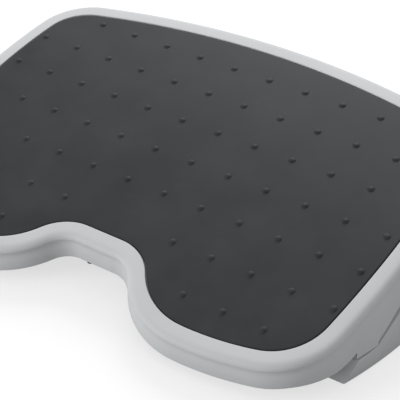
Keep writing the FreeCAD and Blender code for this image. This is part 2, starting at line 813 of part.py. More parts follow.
def hinge_bracket():
    """The right bracket in the deck's frame, with the pivot at its own drop."""
    near, plate = bracket_plate_inner(), mm("bracket_plate")
    drop, flange = mm("bracket_drop"), mm("bracket_flange")
    length, shoulder = mm("bracket_flange_length"), mm("bracket_shoulder")
    pivot = -mm("pivot_drop")
    toe_radius = mm("bracket_toe")
    web = side_profile(
        [
            (-shoulder - 8, -drop - flange / 2),
            (shoulder + 8, -drop - flange / 2),
            (toe_radius + 2, pivot - mm("stop_radius")),
            (-toe_radius - 5, pivot - mm("stop_radius")),
        ],
        near,
        near + plate,
    )
    axis = Vector(1, 0, 0)
    toe = slot_solid(mm("stop_radius"), toe_radius, -tilt_angle, 0, near, near + plate)
    toe.translate(Vector(0, 0, pivot))
    inner, outer = mm("bracket_flange_inner"), mm("bracket_flange_outer")
    corner = Vector(near - inner, -length / 2, -drop - flange)
    top = Part.makeBox(inner + plate + outer, length, flange, corner)
    corners = [e for e in top.Edges if abs(e.Vertexes[0].Z - e.Vertexes[1].Z) > flange / 2]
    top = top.makeChamfer(mm("bracket_screw_head"), corners)
    gussets = []
    for y in (-shoulder, shoulder):
        points = [(near - inner + 6, -drop - flange), (near, -drop - flange), (near, pivot + 2)]
        face = Part.Face(Part.makePolygon([Vector(x, y - 1.2, z) for x, z in points + points[:1]]))
        gussets.append(face.extrude(Vector(0, 2.4, 0)))
    body = web.fuse([toe, top] + gussets)
    bore = mm("bolt_radius") + mm("running_gap") + mm("bush_wall") + mm("seat_gap")
    body = body.cut(Part.makeCylinder(bore, 3 * plate, Vector(near - plate, 0, pivot), axis))
    gap = mm("stop_slot_gap")
    spare = gap / mm("stop_radius")
    slot = slot_solid(
        mm("stop_radius"), mm("stop_pin_radius") + gap, -tilt_angle - spare, spare, near - 1, near + plate + 1
    )
    slot.translate(Vector(0, 0, pivot))
    body = body.cut(slot)
    hole = mm("bracket_screw_radius") + mm("bracket_hole_gap")
    up = Vector(0, 0, 1)
    holes = [
        small_round(hole, 3 * flange, Vector(x, y, -drop - 2 * flange), up, hole=True)
        for x, y in bracket_screw_spots()
    ]
    return body.cut(Part.makeCompound(holes))


bracket = hinge_bracket()
feature("hinge_bracket_right", bracket, deck_place)
feature("hinge_bracket_left", bracket.mirror(Vector(0, 0, 0), Vector(1, 0, 0)), deck_place)

head_radius, head_height = size["bracket_screw_head"], size["bracket_screw_head_height"]
screw_radius, screw_length = size["bracket_screw_radius"], size["bracket_flange"] * 2
bracket_screw = headed_pin(
    "bracket_screw", screw_radius, screw_length, head_radius, head_height, -head_height, 6, 6
)
screw_z = -mm("bracket_drop") - mm("bracket_flange") - mm("seat_gap")
screw_places = [
    deck_place.multiply(Placement(Vector(side * x, y, screw_z), Rotation()))
    for x, y in bracket_screw_spots()
    for side in (-1, 1)
]
feature("bracket_screws", placed_copies(bracket_screw, screw_places))


# Base legs

def leg_plan(crest, reach, radius, inner, z, inset):
    """Plan of a leg at one height: a bowed outer side and a straight inner side."""
    front, rear = -mm("leg_front") - 10, mm("leg_rear") + 10
    outer = reach - inset

    def bow(y):
        return outer - radius + math.sqrt(radius**2 - (y - crest) ** 2)

    side = Part.Arc(Vector(bow(front), front, z), Vector(outer, crest, z), Vector(bow(rear), rear, z))
    near = inner + inset
    back = Part.LineSegment(Vector(bow(rear), rear, z), Vector(near, rear, z))
    inside = Part.LineSegment(Vector(near, rear, z), Vector(near, front, z))
    nose = Part.LineSegment(Vector(near, front, z), Vector(bow(front), front, z))
    return Part.Wire([side.toShape(), back.toShape(), inside.toShape(), nose.toShape()])


def leg_side_outline(bottom):
    """Side view of a leg: toe, ledge, shoulder up to the pivot and down to the rear toe."""
    low, ledge, top = mm("leg_floor_gap"), mm("leg_ledge"), mm("leg_top")
    rake, slope = mm("leg_front_rake"), mm("side_skirt_slope")
    spread = rake * (low - bottom) / (ledge - low)
    heel = -mm("tooth_heel") + mm("seam_gap")
    foot = seam_height(heel) - mm("seam_gap")
    crest = heel + (top - foot) / slope
    rear_crest = crest + mm("leg_plateau")
    rear_foot = rear_crest + (top - ledge) / slope
    return [
        (-mm("leg_front") - spread, bottom),
        (-mm("leg_front") + rake, ledge),
        (heel - 1.5, ledge),
        (heel, foot),
        (crest, top),
        (rear_crest, top),
        (rear_foot, ledge),
        (mm("leg_rear") - rake, ledge),
        (mm("leg_rear") + spread, bottom),
    ]


def leg_block(inset):
    """The leg's outer form, or one that lies inset inside it and runs out of its bottom."""
    ledge, top = mm("leg_ledge"), mm("leg_top")
    crest, inner = mm("leg_crest"), mm("leg_inner")
    bottom = mm("leg_floor_gap") - 2 * inset
    side_reach, side_radius = mm("leg_side_reach"), mm("leg_side_radius")
    foot = leg_plan(crest, mm("leg_foot_reach"), mm("leg_foot_radius"), inner, bottom, inset)
    waist = leg_plan(crest, side_reach, side_radius, inner, ledge, inset)
    crown = leg_plan(crest, side_reach, side_radius, inner, top + 1, inset)
    form = Part.makeLoft([foot, waist, crown], True, True)
    outline = [Vector(0, y, z) for y, z in leg_side_outline(bottom)]
    face = Part.Face(Part.makePolygon(outline + outline[:1]))
    if inset:
        face = face.makeOffset2D(-inset, 2)
    form = form.common(face.extrude(Vector(2 * side_reach, 0, 0)))
    reach = mm("leg_front") + mm("leg_rear")
    step = Part.makeBox(mm("tower_inner") + inset, 2 * reach, top, Vector(0, -reach, ledge - inset))
    return form.cut(step)


def foot_pad_spots():
    inset = mm("foot_pad_inset")
    return {"front": -mm("leg_front") + inset, "rear": mm("leg_rear") - inset}


def crossbar_screw_spots():
    """Where a crossbar's end screws cross the leg's inner wall: y and z."""
    height = mm("crossbar_lift") + mm("crossbar_height") / 2 - mm("crossbar_wall") / 2
    return [(middle, height) for middle in (mm("front_crossbar_y"), mm("rear_crossbar_y"))]


def base_leg():
    wall = mm("leg_wall")
    shell = leg_block(0).cut(leg_block(wall))
    inside = leg_block(wall / 2)
    spacing, rib = mm("leg_rib_spacing"), mm("leg_rib")
    stiffeners = []
    for index in range(-2, 3):
        y = mm("leg_crest") + index * spacing - rib / 2
        corner = Vector(mm("leg_inner"), y, mm("leg_floor_gap") + wall)
        stiffeners.append(Part.makeBox(80, rib, mm("leg_top"), corner).common(inside))
    seat = mm("foot_pad_height") + mm("seat_gap")
    for y in foot_pad_spots().values():
        foot = Vector(mm("foot_pad_x"), y, seat)
        post = small_round(mm("foot_boss_radius"), mm("leg_ledge") - seat, foot, Vector(0, 0, 1))
        stiffeners.append(post.common(inside))
    axis = Vector(1, 0, 0)
    for y, z in crossbar_screw_spots():
        start = Vector(mm("leg_inner"), y, z)
        length = mm("crossbar_boss_length")
        stiffeners.append(small_round(mm("crossbar_screw_boss"), length, start, axis))
    tower_foot = side_profile(
        [
            (pivot_y - 1.5 * mm("pivot_boss_radius"), mm("leg_ledge")),
            (pivot_y + 1.5 * mm("pivot_boss_radius"), mm("leg_ledge")),
            (pivot_y + mm("pivot_boss_radius"), pivot_z),
            (pivot_y - mm("pivot_boss_radius"), pivot_z),
        ],
        mm("tower_inner"),
        mm("tower_inner") + mm("pivot_boss_length") / 2,
    )
    hub_start = Vector(mm("tower_inner"), pivot_y, pivot_z)
    hub = Part.makeCylinder(mm("pivot_boss_radius"), mm("pivot_boss_length"), hub_start, axis)
    leg = shell.fuse(stiffeners + [tower_foot, hub])
    bolt_hole = mm("bolt_radius") + mm("bolt_hole_gap")
    tools = [Part.makeCylinder(bolt_hole, 60, hub_start - Vector(20, 0, 0), axis)]
    pin_start = Vector(mm("tower_inner") - 1, pivot_y, pivot_z - mm("stop_radius"))
    pin_hole = mm("stop_pin_radius") + mm("seat_gap")
    tools.append(small_round(pin_hole, 2 * wall + 1, pin_start, axis, hole=True))
    screw_hole = mm("crossbar_screw_radius") + mm("seat_gap")
    for y, z in crossbar_screw_spots():
        start = Vector(mm("leg_inner") - 1, y, z)
        tools.append(small_round(screw_hole, mm("crossbar_screw_length"), start, axis, hole=True))
    return leg.cut(Part.makeCompound(tools))


leg = base_leg()
feature("base_leg_right", leg, base_place)
feature("base_leg_left", leg.mirror(Vector(0, 0, 0), Vector(1, 0, 0)), base_place)


# Stop pins

pin_grip = size["friction_washer_thickness"] + size["side_play"] + size["bracket_plate"] + size["side_play"]
head_radius, head_height = size["stop_pin_head"], size["stop_pin_head_height"]
pin_length = pin_grip + size["leg_wall"] * 2
stop_pin = headed_pin(
    "stop_pin", size["stop_pin_radius"], pin_length, head_radius, head_height, -head_height, 12, 12
)
pin_start_x = mm("tower_inner") - float(pin_grip)
pair_on_axis(stop_pin, "stop_pins", pin_start_x, mm("stop_radius"))


# Crossbars

def crossbar(node, middle, foot_side):
    """An upturned channel between the legs, with end walls, ribs and two short feet."""
    body = doc.addObject("PartDesign::Body", node + "_body")
    half = size["crossbar_width"] / 2
    low = size["crossbar_lift"]
    high = low + size["crossbar_height"]
    wall = size["crossbar_wall"]
    channel = polygon_sketch(
        body,
        node + "_channel",
        "YZ_Plane",
        [
            (-half, low),
            (-half, high),
            (half, high),
            (half, low),
            (half - wall, low),
            (half - wall, high - wall),
            (-half + wall, high - wall),
            (-half + wall, low),
        ],
    )
    pad = body.newObject("PartDesign::Pad", node + "_pad")
    pad.Profile = channel
    pad.Midplane = True
    bind(pad, Length=(size["leg_inner"] - size["crossbar_end_gap"]) * 2)
    body.Tip = pad
    doc.recompute()
    reach = mm("leg_inner") - mm("crossbar_end_gap")
    inside = mm("crossbar_width") - mm("crossbar_wall")
    depth = mm("crossbar_height") - mm("crossbar_wall") / 2
    extras = []
    spacing, thick = mm("crossbar_rib_spacing"), mm("crossbar_rib")
    count = int((reach - 2 * mm("crossbar_end_wall")) / spacing)
    for index in range(-count, count + 1):
        corner = Vector(index * spacing - thick / 2, -inside / 2, mm("crossbar_lift"))
        extras.append(Part.makeBox(thick, inside, depth, corner))
    end = mm("crossbar_end_wall")
    for x in (-reach, reach - end):
        extras.append(Part.makeBox(end, inside, depth, Vector(x, -inside / 2, mm("crossbar_lift"))))
    foot_y = foot_side * (mm("crossbar_width") / 2 - mm("centre_foot_inset"))
    tip_top = mm("centre_foot_tip_height") + mm("seat_gap")
    for x in (-mm("centre_foot_x"), mm("centre_foot_x")):
        post_height = mm("crossbar_lift") + mm("crossbar_height") / 2 - tip_top
        post_foot = Vector(x, foot_y, tip_top)
        extras.append(small_round(mm("centre_foot_post"), post_height, post_foot, Vector(0, 0, 1)))
    shape = body.Shape.fuse(extras)
    gap = mm("bracket_hole_gap")
    for y, z in crossbar_screw_spots():
        if abs(y - middle) > mm("crossbar_width"):
            continue
        for x in (-reach - 1, reach - 2 * end):
            start = Vector(x, y - middle, z)
            radius = mm("crossbar_screw_radius") + gap
            shape = shape.cut(small_round(radius, 2 * end + 1, start, Vector(1, 0, 0), hole=True))
    place = base_place.multiply(Placement(Vector(0, middle, 0), Rotation()))
    feature(node, shape, place)


crossbar("front_crossbar", mm("front_crossbar_y"), -1)
crossbar("rear_crossbar", mm("rear_crossbar_y"), 1)

head_radius, head_height = size["crossbar_screw_head"], size["crossbar_screw_head_height"]
screw_radius, screw_length = size["crossbar_screw_radius"], size["crossbar_screw_length"]
bar_screw = headed_pin(
    "crossbar_screw", screw_radius, screw_length, head_radius, head_height, -head_height, 6, 6
)
bar_screw_x = mm("leg_inner") - mm("crossbar_end_gap") - mm("crossbar_end_wall") - mm("seat_gap")
crossbars = {"front": mm("front_crossbar_y"), "rear": mm("rear_crossbar_y")}
for end_name, middle in crossbars.items():
    spots = [(y, z) for y, z in crossbar_screw_spots() if abs(y - middle) < mm("crossbar_width")]
    places = [base_place.multiply(along_x(bar_screw_x, y, z, side)) for y, z in spots for side in (-1, 1)]
    feature(f"{end_name}_crossbar_screws", placed_copies(bar_screw, places))


# Feet

def foot_disc(name, radius, height):
    """A plain rubber foot that stands on the floor."""
    disc = doc.addObject("Part::Prism", name)
    disc.Polygon = int(mm("small_round_sides"))
    bind(disc, Circumradius=radius, Height=height)
    doc.recompute()
    return disc


foot_tip = foot_disc("crossbar_foot", size["centre_foot_tip"], size["centre_foot_tip_height"])
foot_offset = mm("crossbar_width") / 2 - mm("centre_foot_inset")
for (end_name, middle), sign in zip(crossbars.items(), (-1, 1)):
    y = middle + sign * foot_offset
    spots = [Vector(x, y, 0) for x in (-mm("centre_foot_x"), mm("centre_foot_x"))]
    places = [base_place.multiply(Placement(spot, Rotation())) for spot in spots]
    feature(f"{end_name}_crossbar_feet", placed_copies(foot_tip, places))

foot_pad = foot_disc("foot_pad", size["foot_pad_radius"], size["foot_pad_height"])
for end_name, y in foot_pad_spots().items():
    spots = [Vector(x, y, 0) for x in (-mm("foot_pad_x"), mm("foot_pad_x"))]
    places = [base_place.multiply(Placement(spot, Rotation())) for spot in spots]
    feature(f"{end_name}_foot_pads", placed_copies(foot_pad, places))


# Checks and files

doc.recompute()
for thing in doc.Objects:
    if {"Invalid", "Error"} & set(thing.State):
        raise RuntimeError(f"{thing.Label} did not build: {thing.State}")
for piece in pieces:
    if piece.Shape.isNull() or not piece.Shape.isValid() or not piece.Shape.Solids:
        raise RuntimeError(f"{piece.Label} has no sound solid")

os.makedirs("parts", exist_ok=True)
for piece in pieces:
    piece.Shape.exportStep(f"parts/{piece.Label}.step")
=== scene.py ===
import json
import math

import bmesh
import bpy
from mathutils import Matrix, Vector


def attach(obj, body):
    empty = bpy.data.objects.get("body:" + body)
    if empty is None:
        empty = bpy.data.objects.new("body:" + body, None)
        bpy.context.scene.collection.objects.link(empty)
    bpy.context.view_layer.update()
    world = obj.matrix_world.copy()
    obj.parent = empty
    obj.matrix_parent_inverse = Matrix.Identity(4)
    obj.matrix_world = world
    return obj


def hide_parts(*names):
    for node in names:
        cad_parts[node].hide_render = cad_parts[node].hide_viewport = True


# Tilting under desk footrest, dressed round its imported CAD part. Sizes are in millimetres in
# the deck's or the base's own frame, and become metres when a mesh is placed.

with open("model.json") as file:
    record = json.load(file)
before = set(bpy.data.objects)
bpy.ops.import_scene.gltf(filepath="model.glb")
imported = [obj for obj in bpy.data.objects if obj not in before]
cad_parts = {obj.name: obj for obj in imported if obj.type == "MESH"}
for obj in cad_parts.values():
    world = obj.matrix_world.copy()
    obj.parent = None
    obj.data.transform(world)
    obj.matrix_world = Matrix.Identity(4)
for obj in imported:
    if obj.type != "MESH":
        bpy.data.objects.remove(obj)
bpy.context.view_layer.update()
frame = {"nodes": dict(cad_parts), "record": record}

MM = 0.001

# Deck: how high its crowned top stands, how far it leans and how it is centred
DECK_HEIGHT = 89.0
DECK_TILT = math.radians(14.6)
DECK_SHIFT = -13.7
CROWN_RADIUS = 1631.0

# Outline of the mat, as tangent arcs from the back's middle to the notch
BACK_EDGE, BACK_RADIUS = 175.7, 814.3
HALF_WIDTH, SIDE_RADIUS, SIDE_CREST = 248.8, 887.7, 4.5
BACK_CORNER, FRONT_CORNER = 44.6, 54.2
LOBE_CENTRE, LOBE_EDGE, LOBE_RADIUS, LOBE_INNER = 128.3, 164.6, 316.5, 76.5
NOTCH_EDGE, NOTCH_FLAT, NOTCH_RADIUS = 109.7, 20.5, 52.1

# Spacing of the points along that outline: on what shows, and on the floor under the mat
FINE_STEP, COARSE_STEP = 4.0, 8.0

# Mat, and its studs: for each row from the back, how many pitches the nearest and the
# farthest stud stand from the middle
MAT_THICKNESS, MAT_EDGE, MAT_BORDER = 2.6, 0.8, 1.0
STUD_PITCH_X, STUD_PITCH_Y = 43.0, 45.75
STUD_RADIUS, STUD_HEIGHT = 3.8, 1.6
STUD_ROWS = ((0.5, 4.5), (0.5, 5.5), (0.5, 5.5), (0.5, 5.5), (0.5, 5.5), (1.5, 5.5), (2.5, 4.5))

# Rim and skirt: reach outwards from the mat, drop down from its top
RIM_GAP, RIM_LIP, RIM_FLAT = 1.2, 0.3, 11.0
RIM_REACH, RIM_DROP = 18.4, 6.2
CREASE_REACH, CREASE_DROP, CREASE_RUN, SKIRT_FLARE = 17.2, 9.8, 4.5, 0.275
SKIRT_DROP, SKIRT_REACH, HEM_EDGE = 26.0, 23.0, 0.7
DECK_WALL, DECK_FLOOR, FLOOR_INSET, BED_DROP = 3.0, 3.4, 1.0, 2.7
RIM_LEDGE, GUTTER = 4.0, 0.9

# Finer points of the rim: rounding of the lip beside the mat, slight crown of the flat, and
# the corner that its shoulder bends round
LIP_ROUND, LIP_START = 0.7, 0.2
FLAT_EASE, FLAT_CREST, FLAT_DROP = 3.0, 0.12, 0.05
SHOULDER_IN, SHOULDER_DROP = 0.4, 0.5

# Inside of the rim, from the skirt up to the floor under the mat
INNER_CREASE_DROP = 14.5
INNER_RIM_IN, INNER_RIM_DROP = 0.6, 10.0
INNER_FLAT_OUT, INNER_FLAT_DROP = 1.5, 0.4

# Ribs under the deck's floor, which run into the floor and stop short of the rim
RIB_COLUMNS, RIB_ROWS, RIB_REACH = (-200.0, -100.0, 0.0, 100.0, 200.0), (-100.0, 0.0, 100.0), 200.0
RIB_THICKNESS, RIB_DROP, RIB_OVERLAP, RIB_SHORT = 2.0, 15.0, 0.4, 2.0

# Side skirt: its tooth lands on the base's ledge, and a seam climbs from its heel. It starts
# to deepen SIDE_FRONT before the tooth and is deepest from SIDE_DIP before it to its root.
LEDGE = 23.5
TOOTH_FRONT, TOOTH_HEEL, TOOTH_GAP, TOOTH_CHAMFER = 94.0, 66.5, 2.0, 3.0
TOOTH_ROOT_BACK, TOOTH_ROOT_RISE, FRONT_HEM_DROP = 12.0, 2.7, 29.7
ROOT_RUN, ROOT_STEP = 5.0, 0.4
SIDE_FRONT, SIDE_DIP = 58.0, 25.0
SEAM_SLOPE, SEAM_GAP, SEAM_START = 0.513, 4.6, 1.3
SIDE_DROP, SIDE_REAR, SIDE_FADE = 29.0, 45.0, 30.0

# What counts as the side: stations this far out that face at least this much sideways
SIDE_BEYOND, SIDE_FACING = 150.0, 0.35

# Base legs: side outline, bowed flank, walls and ribs, where the shoulder's toe starts, and
# radii of the posts over the pads and of the bosses that the crossbars are screwed to
LEG_FLOOR_GAP, LEG_TOP, LEG_PLATEAU = 0.8, 55.5, 20.0
LEG_FRONT, LEG_REAR, LEG_RAKE = 103.5, 132.0, 11.0
LEG_CREST, LEG_FOOT_REACH, LEG_FOOT_RADIUS = 15.0, 274.9, 472.0
LEG_SIDE_REACH, LEG_SIDE_RADIUS = 274.0, 930.0
LEG_INNER, TOWER_INNER, LEG_WALL, LEG_EDGE = 226.0, 240.0, 3.0, 0.9
LEG_RIB, LEG_RIB_LEAST, LEG_RIB_PLACES = 2.0, 1.0, (-85.0, -35.0, 15.0, 65.0, 115.0)
SHOULDER_TOE = 1.5
PAD_POST_RADIUS, BAR_BOSS_RADIUS = 9.6, 4.0

# Tilt pivot, and how much wider its tower is at the ledge
PIVOT_DROP, HUB_RADIUS, HUB_LENGTH, HUB_EDGE, BOLT_RADIUS = 27.0, 11.0, 12.0, 0.8, 4.1
PIVOT_Y = PIVOT_DROP * math.sin(DECK_TILT)
PIVOT_Z = DECK_HEIGHT - PIVOT_DROP * math.cos(DECK_TILT)
TOWER_SPREAD = 1.5

# How far inner posts and bosses start inside a wall, so that no two faces coincide
SUNK, BOSS_INSET, TOWER_INSET = 1.0, 0.2, 0.1

# Bracket screws under the deck, on the right: across and along
BRACKET_SCREWS = ((213.3, -25.6), (213.3, 25.6), (245.1, 0.0))
BRACKET_DROP, BRACKET_BOSS = 8.4, 9.0

# Crossbars, their cross ribs and their short posts
BAR_REACH, BAR_WIDTH, BAR_HEIGHT, BAR_WALL, BAR_LIFT, BAR_EDGE = 225.9, 24.0, 13.5, 2.5, 9.5, 0.7
BAR_PLACES = {"front": -81.0, "rear": 106.0}
BAR_RIB, BAR_RIB_PLACES = 2.0, range(-200, 201, 50)
BAR_RIB_LIFT, BAR_RIB_SHORT = 0.6, 1.8
BAR_SCREW_HEIGHT = BAR_LIFT + (BAR_HEIGHT - BAR_WALL) / 2
POST_ACROSS, POST_INSET, POST_RADIUS, POST_EDGE = 34.0, 3.6, 3.2, 0.4

# Rubber feet: tips on the posts, pads under the legs, and the shallow dish in each sole
TIP_RADIUS, TIP_HEIGHT = 3.4, 2.6
PAD_ACROSS, PAD_INSET, PAD_RADIUS, PAD_HEIGHT = 249.0, 18.0, 8.0, 3.0
PAD_PLACES = {"front": PAD_INSET - LEG_FRONT, "rear": LEG_REAR - PAD_INSET}
FOOT_EDGE, DISH_DEPTH, DISH_SHARE, DISH_LIP_SHARE = 1.0, 0.15, 0.45, 0.5

# Which way the front and the rear face
OUTWARD = {"front": -1, "rear": 1}

# Corners of a square as signs, and the angles of a rounded corner in four steps
QUARTERS = ((-1, -1), (1, -1), (1, 1), (-1, 1))
QUARTER_TURN = [math.radians(angle) for angle in (0, 22.5, 45, 67.5, 90)]

# Distances within which two points are one, a face lies at a height, and a slice takes a
# point for its own
WELD, NEAR, CUT = 0.001, 0.01, 0.0001

# Steps of a round piece, slices that a piece is bent in, and the edge angle kept sharp
ROUND_STEPS, SMALL_STEPS = 48, 32
SLICE, RIB_SLICE = 8.0, 12.0
SHARP = math.radians(35)

deck_matrix = (
    Matrix.Translation((0, DECK_SHIFT * MM, DECK_HEIGHT * MM))
    @ Matrix.Rotation(DECK_TILT, 4, "X")
    @ Matrix.Scale(MM, 4)
)
base_matrix = Matrix.Translation((0, DECK_SHIFT * MM, 0)) @ Matrix.Scale(MM, 4)


# Outline


def crown_drop(y):
    """How far the crowned top has fallen at y."""
    return CROWN_RADIUS - math.sqrt(CROWN_RADIUS**2 - y * y)


def circle_crossings(centre_a, radius_a, centre_b, radius_b):
    """The two points where two circles cross."""
    gap = centre_b - centre_a
    along = (radius_a**2 - radius_b**2 + gap.length_squared) / (2 * gap.length)
    height = math.sqrt(radius_a**2 - along**2)
    middle = centre_a + gap.normalized() * along
    side = Vector((-gap.y, gap.x)).normalized() * height
    return [middle + side, middle - side]


def outline_arcs():
    """The mat's right half, back to notch, as (centre, radius, start angle, sweep, bulge).
    A bulge of -1 marks an arc that is hollow seen from outside."""
    back = Vector((0, BACK_EDGE - BACK_RADIUS))
    side = Vector((HALF_WIDTH - SIDE_RADIUS, SIDE_CREST))
    lobe = Vector((LOBE_CENTRE, LOBE_RADIUS - LOBE_EDGE))
    notch = Vector((NOTCH_FLAT, -NOTCH_EDGE - NOTCH_RADIUS))
    rear = max(
        circle_crossings(back, BACK_RADIUS - BACK_CORNER, side, SIDE_RADIUS - BACK_CORNER),
        key=lambda c: c.x + c.y,
    )
    front = max(
        circle_crossings(side, SIDE_RADIUS - FRONT_CORNER, lobe, LOBE_RADIUS - FRONT_CORNER),
        key=lambda c: c.x - c.y,
    )
    inner = min(
        circle_crossings(lobe, LOBE_RADIUS - LOBE_INNER, notch, NOTCH_RADIUS + LOBE_INNER),
        key=lambda c: c.y,
    )

    def meet(centre, other, radius):
        return centre + (other - centre).normalized() * radius

    joints = [
        Vector((0, BACK_EDGE)),
        meet(back, rear, BACK_RADIUS),
        meet(side, rear, SIDE_RADIUS),
        meet(side, front, SIDE_RADIUS),
        meet(lobe, front, LOBE_RADIUS),
        meet(lobe, inner, LOBE_RADIUS),
        meet(notch, inner, NOTCH_RADIUS),
        Vector((NOTCH_FLAT, -NOTCH_EDGE)),
    ]
    circles = [
        (back, BACK_RADIUS, 1),
        (rear, BACK_CORNER, 1),
        (side, SIDE_RADIUS, 1),
        (front, FRONT_CORNER, 1),
        (lobe, LOBE_RADIUS, 1),
        (inner, LOBE_INNER, 1),
        (notch, NOTCH_RADIUS, -1),
    ]
    arcs = []
    for (centre, radius, bulge), start, end in zip(circles, joints, joints[1:]):
        first = math.atan2(start.y - centre.y, start.x - centre.x)
        last = math.atan2(end.y - centre.y, end.x - centre.x)
        arcs.append((centre, radius, first, (last - first + math.pi) % math.tau - math.pi, bulge))
    return arcs


def arc_station(arc, angle):
    """A point of the outline and the outward direction there."""
    centre, radius, _, _, bulge = arc
    ray = Vector((math.cos(angle), math.sin(angle)))
    return centre + ray * radius, ray * bulge


def side_station(y, reach):
    """The station between the rear corner and the lobe whose skirt, at this reach, is at y."""
    for arc in outline_arcs()[1:5]:
        centre, radius, first, sweep, _ = arc
        high = centre.y + (radius + reach) * math.sin(first)
        low = centre.y + (radius + reach) * math.sin(first + sweep)
        if low <= y <= high:
            return arc_station(arc, math.asin((y - centre.y) / (radius + reach)))
    raise ValueError(y)


def half_stations(step, extra=()):
    """Stations down the right half, evenly spaced, with one at each y in extra."""
    stations = []
    for arc in outline_arcs():
        centre, radius, first, sweep, _ = arc
        count = max(2, round(abs(sweep) * radius / step))
        angles = [first + sweep * index / count for index in range(count)]
        low, high = sorted((first, first + sweep))
        if radius not in (NOTCH_RADIUS, LOBE_INNER):
            for y in extra:
                share = (y - centre.y) / radius
                if abs(share) < 1 and low < math.asin(share) < high:
                    angles.append(math.asin(share))
        angles.sort(key=lambda a: (a - first) / sweep)
        stations += [arc_station(arc, angle) for angle in angles]
    stations.append((Vector((NOTCH_FLAT, -NOTCH_EDGE)), Vector((0, -1))))
    return stations


def full_loop(half):
    """Close a list of right-hand stations with their mirror images."""
    left = [(Vector((-p.x, p.y)), Vector((-n.x, n.y))) for p, n in half[1:]]
    return half + left[::-1]


def outline_span(x, stations):
    """The front and back of the outline along one line across it."""
    ys = []
    for (a, _), (b, _) in zip(stations, stations[1:] + stations[:1]):
        if (a.x - x) * (b.x - x) <= 0 and a.x != b.x:
            ys.append(a.y + (b.y - a.y) * (x - a.x) / (b.x - a.x))
    return min(ys, key=lambda y: (y > 0, -y)), max(ys)


# Hem of the skirt


def to_deck(y, z):
    """A point of the side view in the base's frame, in the deck's frame."""
    rise = z - DECK_HEIGHT
    return (
        y * math.cos(DECK_TILT) + rise * math.sin(DECK_TILT),
        -y * math.sin(DECK_TILT) + rise * math.cos(DECK_TILT),
    )


def seam_height(y):
    """Height over the floor of the seam that climbs from the tooth's heel."""
    foot = LEDGE + TOOTH_GAP + TOOTH_CHAMFER
    return foot + (y + TOOTH_HEEL - SEAM_START) * SEAM_SLOPE


def hem_table():
    """Corners of the side skirt's lower edge: (where it leaves the rim, y, drop)."""
    sole = LEDGE + TOOTH_GAP
    toe = to_deck(-TOOTH_FRONT, sole)
    heel = to_deck(-TOOTH_HEEL, sole)
    start = -TOOTH_HEEL + SEAM_START
    step = to_deck(start, seam_height(start))
    far = to_deck(0, seam_height(0))
    turn = step[0] + (far[0] - step[0]) * (SIDE_DROP + step[1]) / (step[1] - far[1])
    front, dip, root = toe[0] - SIDE_FRONT, toe[0] - SIDE_DIP, toe[0] + TOOTH_ROOT_BACK
    rear, fade = SIDE_REAR, SIDE_REAR + SIDE_FADE
    return [
        (front, front, SKIRT_DROP),
        (dip, dip, FRONT_HEM_DROP),
        (root - ROOT_RUN, root - ROOT_RUN, FRONT_HEM_DROP),
        (root, root, FRONT_HEM_DROP - TOOTH_ROOT_RISE),
        (root + ROOT_STEP, toe[0], -toe[1] - crown_drop(toe[0])),
        (heel[0], heel[0], -heel[1] - crown_drop(heel[0])),
        (step[0], step[0], -step[1] - crown_drop(step[0])),
        (turn, turn, SIDE_DROP - crown_drop(turn)),
        (rear, rear, SIDE_DROP - crown_drop(rear)),
        (fade, fade, SKIRT_DROP),
    ]


def hem_at(y, table):
    """Where the hem runs under a station of the side: its own y and drop."""
    for (a, ya, da), (b, yb, db) in zip(table, table[1:]):
        if a <= y <= b:
            share = (y - a) / (b - a)
            return ya + (yb - ya) * share, da + (db - da) * share
    return y, SKIRT_DROP


def hem_stations(stations, table):
    """For each station of the rim, the station and the drop where its skirt ends."""
    hems = []
    for point, out in stations:
        on_side = abs(point.x) > SIDE_BEYOND and abs(out.x) > SIDE_FACING
        here = point.y + out.y * SKIRT_REACH
        y, drop = hem_at(here, table) if on_side else (here, SKIRT_DROP)
        hem = (point, out)
        if abs(y - here) > NEAR:
            spot, ray = side_station(y, SKIRT_REACH)
            mirror = 1 if point.x > 0 else -1
            hem = (Vector((mirror * spot.x, spot.y)), Vector((mirror * ray.x, ray.y)))
        hems.append((hem, drop))
    return hems


# Section of the rim


def skirt_reach(drop):
    """How far out the flared skirt stands at a drop."""
    return CREASE_REACH + (drop - CREASE_DROP) * SKIRT_FLARE


def bezier(a, pole, b, count):
    """Points after a, up to and with b, of a quadratic curve."""
    points = []
    for index in range(1, count + 1):
        t = index / count
        points.append(
            tuple((1 - t) ** 2 * p + 2 * t * (1 - t) * q + t * t * r for p, q, r in zip(a, pole, b))
        )
    return points


def rim_top_section():
    """The section from under the mat over the rim to the crease, as (reach, drop)."""
    gutter = BED_DROP + GUTTER
    lip = (RIM_GAP + LIP_ROUND, -RIM_LIP)
    flat = (RIM_FLAT, FLAT_DROP)
    shoulder = (RIM_REACH - SHOULDER_IN, SHOULDER_DROP)
    widest = (RIM_REACH, RIM_DROP)
    crease = (CREASE_REACH, CREASE_DROP)
    end = CREASE_DROP + CREASE_RUN
    path = [(-RIM_LEDGE, gutter), (RIM_GAP, gutter), (RIM_GAP, LIP_START)]
    path += bezier(path[-1], (RIM_GAP, -RIM_LIP), lip, 4)
    path += [(RIM_GAP + FLAT_EASE, FLAT_DROP - RIM_LIP), (RIM_FLAT - FLAT_EASE, -FLAT_CREST), flat]
    path += bezier(flat, shoulder, widest, 12)
    path += bezier(widest, crease, (skirt_reach(end), end), 8)
    return path


def rim_inner_section():
    """The section inside the skirt's wall, up and in to the ledge under the mat."""
    under = BED_DROP + GUTTER + DECK_FLOOR
    return [
        (skirt_reach(INNER_CREASE_DROP) - DECK_WALL, INNER_CREASE_DROP),
        (RIM_REACH - DECK_WALL - INNER_RIM_IN, INNER_RIM_DROP),
        (RIM_FLAT + INNER_FLAT_OUT, under + INNER_FLAT_DROP),
        (-RIM_LEDGE, under),
    ]


